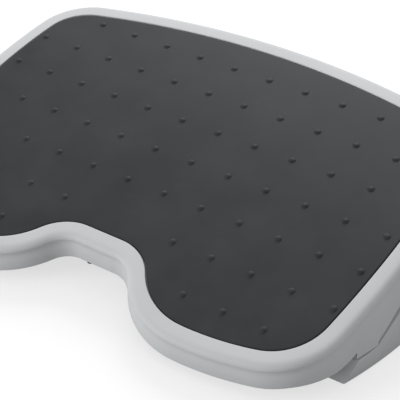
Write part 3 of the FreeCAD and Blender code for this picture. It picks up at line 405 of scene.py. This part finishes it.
def deck_loops(stations, table):
    """Rings of points round the deck, one for each corner of its section: over the rim, round
    the hem as steps in from the skirt's face and up from its lowest edge, and back inside."""
    hem_section = [
        (0, HEM_EDGE),
        (0.2 * HEM_EDGE, 0.2 * HEM_EDGE),
        (HEM_EDGE, 0),
        (DECK_WALL - HEM_EDGE, 0),
        (DECK_WALL, HEM_EDGE),
    ]

    def place(station, reach, drop):
        point, out = station
        return Vector((point.x + out.x * reach, point.y + out.y * reach, -crown_drop(point.y) - drop))

    hems = hem_stations(stations, table)
    rings = [[place(s, reach, drop) for s in stations] for reach, drop in rim_top_section()]
    for inset, lift in hem_section:
        rings.append([place(s, skirt_reach(drop) - inset, drop - lift) for s, drop in hems])
    rings += [[place(s, reach, drop) for s in stations] for reach, drop in rim_inner_section()]
    return rings


# Mesh operations


def whole(bm):
    """All points, edges and faces of a mesh."""
    return list(bm.verts) + list(bm.edges) + list(bm.faces)


def around(verts):
    """The points with every edge and face that touches them."""
    edges = {edge for vert in verts for edge in vert.link_edges}
    faces = {face for vert in verts for face in vert.link_faces}
    return list(verts) + list(edges) + list(faces)


def bridge(bm, rings):
    """Join closed rings of points into one closed ring-shaped skin."""
    loops = []
    for ring in rings:
        verts = [bm.verts.new(point) for point in ring]
        loops.append([bm.edges.new(pair) for pair in zip(verts, verts[1:] + verts[:1])])
    for loop, following in zip(loops, loops[1:] + loops[:1]):
        bmesh.ops.bridge_loops(bm, edges=loop + following)


def draw_out(bm, faces, shift):
    """Draw faces out along a shift; gives the points of their new ends."""
    grown = bmesh.ops.extrude_face_region(bm, geom=faces)["geom"]
    ends = [g for g in grown if isinstance(g, bmesh.types.BMVert)]
    bmesh.ops.translate(bm, vec=shift, verts=ends)
    return ends


def prism(bm, corners, shift):
    """A solid with a flat outline, drawn out along a shift; gives its points."""
    face = bm.faces.new([bm.verts.new(corner) for corner in corners])
    ends = draw_out(bm, [face], shift)
    return list(face.verts) + ends


def turned(bm, section, centre, axis, steps=ROUND_STEPS):
    """A round solid: its half section of (radius, height) turned about an axis."""
    turn = Vector(axis).to_track_quat("Z", "X").to_matrix().to_4x4()
    place = Matrix.Translation(centre) @ turn
    verts = [bm.verts.new(place @ Vector((radius, 0, height))) for radius, height in section]
    edges = [bm.edges.new(pair) for pair in zip(verts, verts[1:])]
    if section[0][0] > 0:
        edges.append(bm.edges.new((verts[-1], verts[0])))
    bmesh.ops.spin(
        bm, geom=verts + edges, cent=centre, axis=axis, angle=math.tau, steps=steps, use_merge=True
    )


def slice_across(bm, verts, first, last, step=SLICE):
    """Cut these points' faces at even steps of y, so that they can be bent."""
    geom = around(verts)
    y = first + step
    while y < last:
        cut = bmesh.ops.bisect_plane(bm, geom=geom, dist=CUT, plane_co=(0, y, 0), plane_no=(0, 1, 0))
        geom = cut["geom"]
        y += step
    return {g for g in geom if isinstance(g, bmesh.types.BMVert)} | {
        v for g in geom if not isinstance(g, bmesh.types.BMVert) for v in g.verts
    }


def bend_to_crown(bm, verts, first, last, step=SLICE):
    """Slice these points' faces across and lower them to the deck's crown."""
    for vert in slice_across(bm, verts, first, last, step):
        vert.co.z -= crown_drop(vert.co.y)


def cut_at_ledge(bm):
    """Cut the whole mesh at the height of the ledge."""
    bmesh.ops.bisect_plane(bm, geom=whole(bm), dist=WELD, plane_co=(0, 0, LEDGE), plane_no=(0, 0, 1))


def open_below(bm, height):
    """Take away the faces that lie at a height or lower."""
    low = [f for f in bm.faces if all(v.co.z < height + NEAR for v in f.verts)]
    bmesh.ops.delete(bm, geom=low, context="FACES_ONLY")


def thicken(bm, wall):
    """Give an open skin a wall inwards."""
    bmesh.ops.recalc_face_normals(bm, faces=bm.faces)
    bmesh.ops.solidify(bm, geom=list(bm.faces), thickness=wall)


def soften(bm, edges, offset, segments=3):
    """Round edges over."""
    bmesh.ops.bevel(
        bm, geom=edges, offset=offset, segments=segments, profile=0.5, affect="EDGES", material=-1
    )


def sharp_edges(bm, degrees):
    """The edges that turn by more than an angle."""
    limit = math.radians(degrees)
    return [e for e in bm.edges if len(e.link_faces) == 2 and e.calc_face_angle() > limit]


def as_mesh(bm, name):
    """Keep a mesh being built under a name."""
    mesh = bpy.data.meshes.new(name)
    bm.to_mesh(mesh)
    bm.free()
    return mesh


def finished(name, bm, matrix, body, material):
    """Turn a mesh being built into a shown piece, placed through its vertices."""
    bmesh.ops.remove_doubles(bm, verts=bm.verts, dist=WELD)
    bmesh.ops.recalc_face_normals(bm, faces=bm.faces)
    bm.transform(matrix)
    mesh = as_mesh(bm, name)
    mesh.materials.append(material)
    mesh.shade_smooth()
    mesh.set_sharp_from_angle(angle=SHARP)
    thing = bpy.data.objects.new(name, mesh)
    bpy.context.scene.collection.objects.link(thing)
    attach(thing, body)
    return thing


# Materials


def linear(code):
    """An sRGB hex colour as the linear values that a shader takes."""
    channels = [int(code[i : i + 2], 16) / 255 for i in (1, 3, 5)]
    return [c / 12.92 if c < 0.04045 else ((c + 0.055) / 1.055) ** 2.4 for c in channels] + [1.0]


def node(tree, kind, inputs=None, **settings):
    """Add a shader node; inputs are values or the output sockets of other nodes."""
    made = tree.nodes.new(kind)
    for name, value in settings.items():
        setattr(made, name, value)
    for name, value in (inputs or {}).items():
        if isinstance(value, bpy.types.NodeSocket):
            tree.links.new(value, made.inputs[name])
        else:
            made.inputs[name].default_value = value
    return made


def new_material(name):
    """A material with its node tree, its shader and the object coordinates in it."""
    material = bpy.data.materials.new(name)
    material.use_nodes = True
    tree = material.node_tree
    shader = tree.nodes["Principled BSDF"]
    where = node(tree, "ShaderNodeTexCoord").outputs["Object"]
    return material, tree, shader, where


def dress(tree, shader, colour, matt, relief):
    """Lead a mixed colour, a range of roughness and a relief into the shader."""
    tree.links.new(colour.outputs[2], shader.inputs["Base Color"])
    tree.links.new(matt.outputs["Result"], shader.inputs["Roughness"])
    tree.links.new(relief.outputs["Normal"], shader.inputs["Normal"])


def per_mm(size):
    """The noise scale that gives lumps about this many millimetres across."""
    return 1 / (size * MM)


def moulded_abs():
    """Light grey ABS from a spark-eroded mould: matt all over, in faintly cloudy flow marks.
    The mould's grain is too fine to see, so it is drawn at 0.9 mm, where it just breaks up
    the highlights."""
    material, tree, shader, where = new_material("grey_moulded_abs")
    clouds = node(tree, "ShaderNodeTexNoise", {"Vector": where, "Scale": per_mm(60), "Detail": 2.0})
    grain = node(tree, "ShaderNodeTexNoise", {"Vector": where, "Scale": per_mm(0.9), "Detail": 2.0})
    colour = node(
        tree,
        "ShaderNodeMix",
        {0: clouds.outputs["Fac"], 6: linear("#B8BABC"), 7: linear("#C3C5C6")},
        data_type="RGBA",
    )
    matt = node(tree, "ShaderNodeMapRange", {"Value": grain.outputs["Fac"], "To Min": 0.58, "To Max": 0.72})
    relief = node(
        tree, "ShaderNodeBump", {"Height": grain.outputs["Fac"], "Strength": 0.25, "Distance": 0.05 * MM}
    )
    dress(tree, shader, colour, matt, relief)
    shader.inputs["Specular IOR Level"].default_value = 0.35
    return material


def mat_rubber():
    """Charcoal moulded rubber: nearly matt, with a soft bloom that drifts over the top in
    patches of 70 mm. Its grain is too fine to see, so it is drawn at 1.1 mm."""
    material, tree, shader, where = new_material("charcoal_moulded_rubber")
    bloom = node(
        tree,
        "ShaderNodeTexNoise",
        {"Vector": where, "Scale": per_mm(70), "Detail": 3.0, "Roughness": 0.6},
    )
    grain = node(tree, "ShaderNodeTexNoise", {"Vector": where, "Scale": per_mm(1.1), "Detail": 3.0})
    patches = node(
        tree, "ShaderNodeMapRange", {"Value": bloom.outputs["Fac"], "From Min": 0.32, "From Max": 0.68}
    )
    colour = node(
        tree,
        "ShaderNodeMix",
        {0: patches.outputs["Result"], 6: linear("#202123"), 7: linear("#2E2F31")},
        data_type="RGBA",
    )
    matt = node(tree, "ShaderNodeMapRange", {"Value": bloom.outputs["Fac"], "To Min": 0.6, "To Max": 0.7})
    relief = node(
        tree, "ShaderNodeBump", {"Height": grain.outputs["Fac"], "Strength": 0.3, "Distance": 0.06 * MM}
    )
    dress(tree, shader, colour, matt, relief)
    shader.inputs["Specular IOR Level"].default_value = 0.22
    return material


def foot_rubber():
    """Black rubber of the feet: dull, with scuffs of about 3 mm worn grey where it has been
    dragged."""
    material, tree, shader, where = new_material("black_foot_rubber")
    scuffs = node(
        tree,
        "ShaderNodeTexNoise",
        {"Vector": where, "Scale": per_mm(3), "Detail": 4.0, "Roughness": 0.7},
    )
    colour = node(
        tree,
        "ShaderNodeMix",
        {0: scuffs.outputs["Fac"], 6: linear("#131315"), 7: linear("#333335")},
        data_type="RGBA",
    )
    matt = node(tree, "ShaderNodeMapRange", {"Value": scuffs.outputs["Fac"], "To Min": 0.7, "To Max": 0.9})
    relief = node(
        tree, "ShaderNodeBump", {"Height": scuffs.outputs["Fac"], "Strength": 0.2, "Distance": 0.1 * MM}
    )
    dress(tree, shader, colour, matt, relief)
    return material


def zinc_steel():
    """Zinc-plated pressed steel: cool and bright, patched by the plating's 9 mm bloom. The
    fine lines along its rolling are drawn at 0.8 mm, as coarse as they need to show."""
    material, tree, shader, where = new_material("zinc_plated_steel")
    drawn = node(tree, "ShaderNodeMapping", {"Vector": where, "Scale": (1.0, 0.08, 1.0)})
    lines = node(
        tree,
        "ShaderNodeTexNoise",
        {"Vector": drawn.outputs["Vector"], "Scale": per_mm(0.8), "Detail": 3.0},
    )
    patches = node(tree, "ShaderNodeTexNoise", {"Vector": where, "Scale": per_mm(9), "Detail": 3.0})
    colour = node(
        tree,
        "ShaderNodeMix",
        {0: patches.outputs["Fac"], 6: linear("#9DA0A3"), 7: linear("#C2C5C7")},
        data_type="RGBA",
    )
    matt = node(tree, "ShaderNodeMapRange", {"Value": lines.outputs["Fac"], "To Min": 0.28, "To Max": 0.46})
    relief = node(
        tree, "ShaderNodeBump", {"Height": lines.outputs["Fac"], "Strength": 0.15, "Distance": 0.03 * MM}
    )
    dress(tree, shader, colour, matt, relief)
    shader.inputs["Metallic"].default_value = 1.0
    return material


def nylon():
    """Natural nylon of the bushes and washers: milky off-white with a waxy gloss, slightly
    clouded every 4 mm."""
    material, tree, shader, where = new_material("natural_nylon")
    clouds = node(tree, "ShaderNodeTexNoise", {"Vector": where, "Scale": per_mm(4), "Detail": 3.0})
    colour = node(
        tree,
        "ShaderNodeMix",
        {0: clouds.outputs["Fac"], 6: linear("#D9D5C8"), 7: linear("#EBE8DE")},
        data_type="RGBA",
    )
    matt = node(tree, "ShaderNodeMapRange", {"Value": clouds.outputs["Fac"], "To Min": 0.38, "To Max": 0.5})
    relief = node(
        tree, "ShaderNodeBump", {"Height": clouds.outputs["Fac"], "Strength": 0.1, "Distance": 0.05 * MM}
    )
    dress(tree, shader, colour, matt, relief)
    return material


materials = {
    "grey_abs": moulded_abs(),
    "mat_rubber": mat_rubber(),
    "foot_rubber": foot_rubber(),
    "zinc_steel": zinc_steel(),
    "white_nylon": nylon(),
}


# Deck and mat


def deck_floor(bm, stations):
    """The floor under the mat: a plate just inside the outline, bent to the crown."""
    points = [Vector((*(p - n * FLOOR_INSET), -BED_DROP)) for p, n in stations]
    verts = prism(bm, points, (0, 0, -DECK_FLOOR))
    bend_to_crown(bm, verts, -LOBE_EDGE, BACK_EDGE)


def deck_rib(bm, low, high):
    """A straight rib under the floor, from one corner of its plan to the other."""
    (x, y), (far_x, far_y) = low, high
    top = BED_DROP + DECK_FLOOR - RIB_OVERLAP
    corners = [(x, y, -top), (far_x, y, -top), (far_x, far_y, -top), (x, far_y, -top)]
    verts = prism(bm, corners, (0, 0, top - RIB_DROP))
    bend_to_crown(bm, verts, y, far_y, RIB_SLICE)


def deck_boss(bm, x, y):
    """A square boss that a bracket screw goes into."""
    wide = BRACKET_BOSS / 2
    corners = [(x + a * wide, y + b * wide, -BRACKET_DROP) for a, b in QUARTERS]
    prism(bm, corners, (0, 0, BRACKET_DROP - BED_DROP - DECK_FLOOR / 2 - crown_drop(y)))


def deck_moulding():
    """The deck: rim, skirts and ledge in one skin, with its floor, ribs and screw bosses."""
    table = hem_table()
    corners = [side_station(row[0], SKIRT_REACH)[0].y for row in table]
    bm = bmesh.new()
    bridge(bm, deck_loops(full_loop(half_stations(FINE_STEP, corners)), table))
    plate = full_loop(half_stations(COARSE_STEP))
    deck_floor(bm, plate)
    half = RIB_THICKNESS / 2
    for x in RIB_COLUMNS:
        front, back = outline_span(x, plate)
        deck_rib(bm, (x - half, front + RIB_SHORT), (x + half, back - RIB_SHORT))
    for y in RIB_ROWS:
        deck_rib(bm, (-RIB_REACH, y - half), (RIB_REACH, y + half))
    for x, y in BRACKET_SCREWS:
        deck_boss(bm, -x, y)
        deck_boss(bm, x, y)
    piece = finished("deck_moulding", bm, deck_matrix, "deck", materials["grey_abs"])
    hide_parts("deck_shell")


def stud_spots():
    """Centres of the studs. The front rows leave out the notch and the bare panel."""
    spots = []
    for row, (nearest, farthest) in enumerate(STUD_ROWS):
        right = [nearest + step for step in range(round(farthest - nearest) + 1)]
        for across in [-pitches for pitches in reversed(right)] + right:
            spots.append((across * STUD_PITCH_X, (len(STUD_ROWS) // 2 - row) * STUD_PITCH_Y))
    return spots


def stud_dome():
    """A low dome: the cap of a ball that sits in the mat, standing at the origin."""
    ball = (STUD_HEIGHT**2 + STUD_RADIUS**2) / (2 * STUD_HEIGHT)
    bm = bmesh.new()
    place = Matrix.Translation((0, 0, STUD_HEIGHT - ball))
    bmesh.ops.create_uvsphere(bm, u_segments=24, v_segments=32, radius=ball, matrix=place)
    sunk = (0, 0, -MAT_THICKNESS / 2)
    cut = bmesh.ops.bisect_plane(
        bm, geom=whole(bm), dist=CUT, plane_co=sunk, plane_no=(0, 0, 1), clear_inner=True
    )
    rim = [g for g in cut["geom_cut"] if isinstance(g, bmesh.types.BMEdge)]
    bmesh.ops.edgeloop_fill(bm, edges=rim)
    return as_mesh(bm, "stud_dome")


def studded_mat():
    """The rubber mat with its rounded edge and studs."""
    bm = bmesh.new()
    outline = [Vector((p.x, p.y, -MAT_THICKNESS)) for p, _ in full_loop(half_stations(FINE_STEP))]
    prism(bm, outline, (0, 0, MAT_THICKNESS))
    top = [e for e in bm.edges if all(abs(v.co.z) < WELD for v in e.verts)]
    soften(bm, top, MAT_EDGE, 4)
    crest = [f for f in bm.faces if all(abs(v.co.z) < WELD for v in f.verts)]
    bmesh.ops.inset_region(bm, faces=crest, thickness=MAT_BORDER)
    bend_to_crown(bm, list(bm.verts), -LOBE_EDGE, BACK_EDGE)
    dome = stud_dome()
    for x, y in stud_spots():
        before = len(bm.verts)
        bm.from_mesh(dome)
        bm.verts.ensure_lookup_table()
        bmesh.ops.translate(bm, vec=(x, y, -crown_drop(y)), verts=bm.verts[before:])
    bpy.data.meshes.remove(dome)
    piece = finished("studded_rubber_mat", bm, deck_matrix, "deck", materials["mat_rubber"])
    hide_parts("rubber_mat")


# Base


def leg_outer(y, z):
    """How far out the leg's bowed side stands: wider at the floor than at its waist."""

    def bow(reach, radius):
        return reach - radius + math.sqrt(radius**2 - (y - LEG_CREST) ** 2)

    waist = bow(LEG_SIDE_REACH, LEG_SIDE_RADIUS)
    if z >= LEDGE:
        return waist
    share = (LEDGE - z) / (LEDGE - LEG_FLOOR_GAP)
    return waist + (bow(LEG_FOOT_REACH, LEG_FOOT_RADIUS) - waist) * share


def leg_side_outline():
    """Side view of a leg: toe, ledge, shoulder up to the pivot and down to the rear toe."""
    heel = -TOOTH_HEEL + SEAM_GAP
    foot = seam_height(heel) - SEAM_GAP
    crest = heel + (LEG_TOP - foot) / SEAM_SLOPE
    rear_crest = crest + LEG_PLATEAU
    rear_foot = rear_crest + (LEG_TOP - LEDGE) / SEAM_SLOPE
    return [
        (-LEG_FRONT, LEG_FLOOR_GAP),
        (-LEG_FRONT + LEG_RAKE, LEDGE),
        (heel - SHOULDER_TOE, LEDGE),
        (heel, foot),
        (crest, LEG_TOP),
        (rear_crest, LEG_TOP),
        (rear_foot, LEDGE),
        (LEG_REAR - LEG_RAKE, LEDGE),
        (LEG_REAR, LEG_FLOOR_GAP),
    ]


def height_at(y, outline):
    """Height of the leg's top line at one place along it."""
    for (a, za), (b, zb) in zip(outline, outline[1:]):
        if a <= y <= b:
            return za + (zb - za) * (y - a) / (b - a)
    return LEDGE


def leg_shell(bm, outline):
    """The leg's hollow outer form: a side outline drawn out, stepped, walled and rounded."""
    corners = [(TOWER_INNER, y, z) for y, z in outline]
    prism(bm, corners, (LEG_SIDE_REACH - TOWER_INNER, 0, 0))
    cut_at_ledge(bm)
    inner = [
        f
        for f in bm.faces
        if all(abs(v.co.x - TOWER_INNER) < NEAR and v.co.z < LEDGE + NEAR for v in f.verts)
    ]
    draw_out(bm, inner, (LEG_INNER - TOWER_INNER, 0, 0))
    bmesh.ops.delete(bm, geom=[f for f in inner if f.is_valid], context="FACES_ONLY")
    open_below(bm, LEG_FLOOR_GAP)
    bmesh.ops.dissolve_limit(bm, angle_limit=0.01, verts=bm.verts, edges=bm.edges)
    thicken(bm, LEG_WALL)
    for vert in bm.verts:
        vert.co.z = max(vert.co.z, LEG_FLOOR_GAP)
    soften(bm, sharp_edges(bm, 20), LEG_EDGE)
    cut_at_ledge(bm)
    middle = (TOWER_INNER + LEG_SIDE_REACH) / 2
    for vert in slice_across(bm, list(bm.verts), -LEG_FRONT, LEG_REAR):
        if vert.co.x > middle:
            vert.co.x += leg_outer(vert.co.y, vert.co.z) - LEG_SIDE_REACH


def leg_ribs(bm, outline):
    """Upright ribs across the inside of a leg, stepped where the leg is."""
    wall = LEG_WALL / 2
    low, step = LEG_FLOOR_GAP + LEG_WALL, LEDGE - wall
    for y in LEG_RIB_PLACES:
        top = height_at(y, outline) - wall
        outer = min(leg_outer(y, low), leg_outer(y, top)) - wall
        corners = [(LEG_INNER + wall, low), (LEG_INNER + wall, step)]
        if top > step + LEG_RIB_LEAST:
            corners += [(TOWER_INNER + wall, step), (TOWER_INNER + wall, top), (outer, top)]
        else:
            corners.append((outer, step))
        corners.append((outer, low))
        prism(bm, [(x, y - LEG_RIB / 2, z) for x, z in corners], (0, LEG_RIB, 0))


def leg_hub(bm):
    """The bored hub that the tilt bolt goes through, on a tapered tower."""
    foot = TOWER_SPREAD * HUB_RADIUS
    tower = [(-foot, LEDGE - SUNK), (foot, LEDGE - SUNK), (HUB_RADIUS, PIVOT_Z), (-HUB_RADIUS, PIVOT_Z)]
    corners = [(TOWER_INNER + TOWER_INSET, PIVOT_Y + y, z) for y, z in tower]
    prism(bm, corners, (HUB_LENGTH / 2, 0, 0))
    hub = [
        (BOLT_RADIUS, 0),
        (HUB_RADIUS - HUB_EDGE, 0),
        (HUB_RADIUS, HUB_EDGE),
        (HUB_RADIUS, HUB_LENGTH - HUB_EDGE),
        (HUB_RADIUS - HUB_EDGE, HUB_LENGTH),
        (BOLT_RADIUS, HUB_LENGTH),
    ]
    turned(bm, hub, (TOWER_INNER, PIVOT_Y, PIVOT_Z), (1, 0, 0))


def base_leg(side, name):
    """A side leg with its ribs, foot posts, screw bosses and pivot hub."""
    bm = bmesh.new()
    outline = leg_side_outline()
    leg_shell(bm, outline)
    leg_ribs(bm, outline)
    tall = LEDGE - PAD_HEIGHT - SUNK
    post = [(0, 0), (PAD_POST_RADIUS, 0), (PAD_POST_RADIUS, tall), (0, tall)]
    for y in PAD_PLACES.values():
        turned(bm, post, (PAD_ACROSS, y, PAD_HEIGHT), (0, 0, 1))
    boss = [(0, 0), (BAR_BOSS_RADIUS, 0), (BAR_BOSS_RADIUS, HUB_LENGTH), (0, HUB_LENGTH)]
    for y in BAR_PLACES.values():
        turned(bm, boss, (LEG_INNER + BOSS_INSET, y, BAR_SCREW_HEIGHT), (1, 0, 0), SMALL_STEPS)
    leg_hub(bm)
    if side < 0:
        bmesh.ops.scale(bm, vec=(-1, 1, 1), verts=bm.verts)
    piece = finished(name, bm, base_matrix, "base", materials["grey_abs"])
    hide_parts("base_leg_right" if side > 0 else "base_leg_left")


def post_spots(end):
    """Where the two short posts of a crossbar stand, near its outward side."""
    y = BAR_PLACES[end] + OUTWARD[end] * (BAR_WIDTH / 2 - POST_INSET)
    return [(-POST_ACROSS, y), (POST_ACROSS, y)]


def box_corners(y, half, low, high):
    """Corners of an upright rectangle across y, as (y, z)."""
    return [(y + a * half, low + (b + 1) / 2 * (high - low)) for a, b in QUARTERS]


def crossbar(end):
    """An upturned channel with closed ends, cross ribs and two short posts."""
    bm = bmesh.new()
    middle, half, high = BAR_PLACES[end], BAR_WIDTH / 2, BAR_LIFT + BAR_HEIGHT
    corners = [(-BAR_REACH, y, z) for y, z in box_corners(middle, half, BAR_LIFT, high)]
    prism(bm, corners, (2 * BAR_REACH, 0, 0))
    open_below(bm, BAR_LIFT)
    thicken(bm, BAR_WALL)
    soften(bm, sharp_edges(bm, 30), BAR_EDGE)
    low = BAR_LIFT + BAR_RIB_LIFT
    rib = box_corners(middle, half - BAR_WALL / 2, low, low + BAR_HEIGHT - BAR_RIB_SHORT)
    for x in BAR_RIB_PLACES:
        prism(bm, [(x - BAR_RIB / 2, y, z) for y, z in rib], (BAR_RIB, 0, 0))
    rise = high - BAR_WALL / 2 - TIP_HEIGHT
    post = [(0, 0), (POST_RADIUS - POST_EDGE, 0), (POST_RADIUS, POST_EDGE), (POST_RADIUS, rise), (0, rise)]
    for x, y in post_spots(end):
        turned(bm, post, (x, y, TIP_HEIGHT), (0, 0, 1), SMALL_STEPS)
    piece = finished(f"{end}_crossbar_channel", bm, base_matrix, "base", materials["grey_abs"])
    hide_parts(f"{end}_crossbar")


def rubber_feet(name, stands_for, spots, radius, height):
    """Round rubber feet with a rounded, slightly dished sole, one for each spot."""
    bm = bmesh.new()
    soft = min(FOOT_EDGE, height / 3)
    edge = [(radius - soft + soft * math.sin(t), soft - soft * math.cos(t)) for t in QUARTER_TURN]
    dish = [(0, DISH_DEPTH), (radius * DISH_SHARE, DISH_DEPTH), (radius * DISH_LIP_SHARE, 0)]
    for x, y in spots:
        turned(bm, dish + edge + [(radius, height), (0, height)], (x, y, 0), (0, 0, 1))
    piece = finished(name, bm, base_matrix, "base", materials["foot_rubber"])
    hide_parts(stands_for)


def all_feet():
    """The tips of the crossbars' posts and the pads under the legs."""
    for end, y in PAD_PLACES.items():
        pads = [(-PAD_ACROSS, y), (PAD_ACROSS, y)]
        rubber_feet(f"{end}_post_tips", f"{end}_crossbar_feet", post_spots(end), TIP_RADIUS, TIP_HEIGHT)
        rubber_feet(f"{end}_round_pads", f"{end}_foot_pads", pads, PAD_RADIUS, PAD_HEIGHT)


# Studio


WHITE = linear("#FFFFFF")

# How much of the floor's white is its own light, which pales the shadow on it, and how
# strongly the surround lights the part
FLOOR_GLOW, SURROUND_LIGHT = 0.66, 0.58


def background_rays(tree):
    """1 for the rays that show the background: to the camera and in gloss or glass."""
    path = node(tree, "ShaderNodeLightPath")
    shown = path.outputs["Is Camera Ray"]
    for more in ("Is Glossy Ray", "Is Transmission Ray"):
        both = node(tree, "ShaderNodeMath", {0: shown, 1: path.outputs[more]}, operation="MAXIMUM")
        shown = both.outputs[0]
    return shown


def floor_paper():
    """Matt studio paper. It looks white with a faint shadow, throws up only the light of a
    grey floor on the part, and is clear from below so that the underside can be looked at."""
    material, tree, shader, _ = new_material("studio_floor")
    shader.inputs["Base Color"].default_value = linear("#B4B4B4")
    shader.inputs["Roughness"].default_value = 0.9
    paper = node(tree, "ShaderNodeBsdfDiffuse", {"Color": WHITE})
    glow = node(tree, "ShaderNodeEmission", {"Color": WHITE, "Strength": 1.0})
    pale = node(tree, "ShaderNodeMixShader", {0: FLOOR_GLOW, 1: paper.outputs[0], 2: glow.outputs[0]})
    top = node(
        tree, "ShaderNodeMixShader", {0: background_rays(tree), 1: shader.outputs[0], 2: pale.outputs[0]}
    )
    clear = node(tree, "ShaderNodeBsdfTransparent")
    under = node(tree, "ShaderNodeNewGeometry").outputs["Backfacing"]
    sheet = node(tree, "ShaderNodeMixShader", {0: under, 1: top.outputs[0], 2: clear.outputs[0]})
    tree.links.new(sheet.outputs[0], tree.nodes["Material Output"].inputs["Surface"])
    return material


def studio_floor():
    """A wide pale floor."""
    bm = bmesh.new()
    bmesh.ops.create_grid(bm, x_segments=1, y_segments=1, size=6.0)
    mesh = as_mesh(bm, "studio_floor")
    mesh.materials.append(floor_paper())
    floor = bpy.data.objects.new("studio_floor", mesh)
    bpy.context.scene.collection.objects.link(floor)


def studio_surround():
    """A surround that looks white and lights the part more dimly."""
    world = bpy.data.worlds.new("studio_surround")
    bpy.context.scene.world = world
    world.use_nodes = True
    tree = world.node_tree
    tree.nodes.clear()
    dim = node(tree, "ShaderNodeBackground", {"Color": WHITE, "Strength": SURROUND_LIGHT})
    white = node(tree, "ShaderNodeBackground", {"Color": WHITE, "Strength": 1.0})
    mixed = node(
        tree, "ShaderNodeMixShader", {0: background_rays(tree), 1: dim.outputs[0], 2: white.outputs[0]}
    )
    node(tree, "ShaderNodeOutputWorld", {"Surface": mixed.outputs[0]})


def aimed(name, data, place, direction):
    """Put a lamp or a camera in its place and turn it to look along a direction."""
    thing = bpy.data.objects.new(name, data)
    thing.location = place
    thing.rotation_mode = "QUATERNION"
    thing.rotation_quaternion = direction.to_track_quat("-Z", "Y")
    bpy.context.scene.collection.objects.link(thing)
    return thing


def softbox(name, place, aim, size, power):
    """A soft square lamp, in metres and watts."""
    data = bpy.data.lights.new(name, "AREA")
    data.size = size
    data.energy = power
    aimed(name, data, place, Vector(aim) - Vector(place))


def camera():
    """The photograph's own viewpoint, found from the stud lattice."""
    data = bpy.data.cameras.new("camera")
    data.sensor_width = 36.0
    data.lens = 134.1
    place = (0.7378, -0.9807 + DECK_SHIFT * MM, 0.8413)
    bpy.context.scene.camera = aimed("camera", data, place, Vector((-0.4886, 0.679, -0.548)))


deck_moulding()
studded_mat()
base_leg(1, "right_side_leg")
base_leg(-1, "left_side_leg")
crossbar("front")
crossbar("rear")
all_feet()

record_slots = {s["node"]: s["material_slot"] for s in frame["record"]["subparts"]}
for name, thing in frame["nodes"].items():
    thing.data.materials.clear()
    thing.data.materials.append(materials[record_slots[name]])

studio_floor()
studio_surround()
softbox("key_softbox", place=(-0.8, 1.8, 1.7), aim=(0, 0, 0.08), size=1.4, power=46)
softbox("fill_softbox", place=(-1.7, -2.2, 0.6), aim=(0, 0, 0.05), size=1.1, power=43)
camera()
bpy.context.scene.view_settings.view_transform = "Standard"
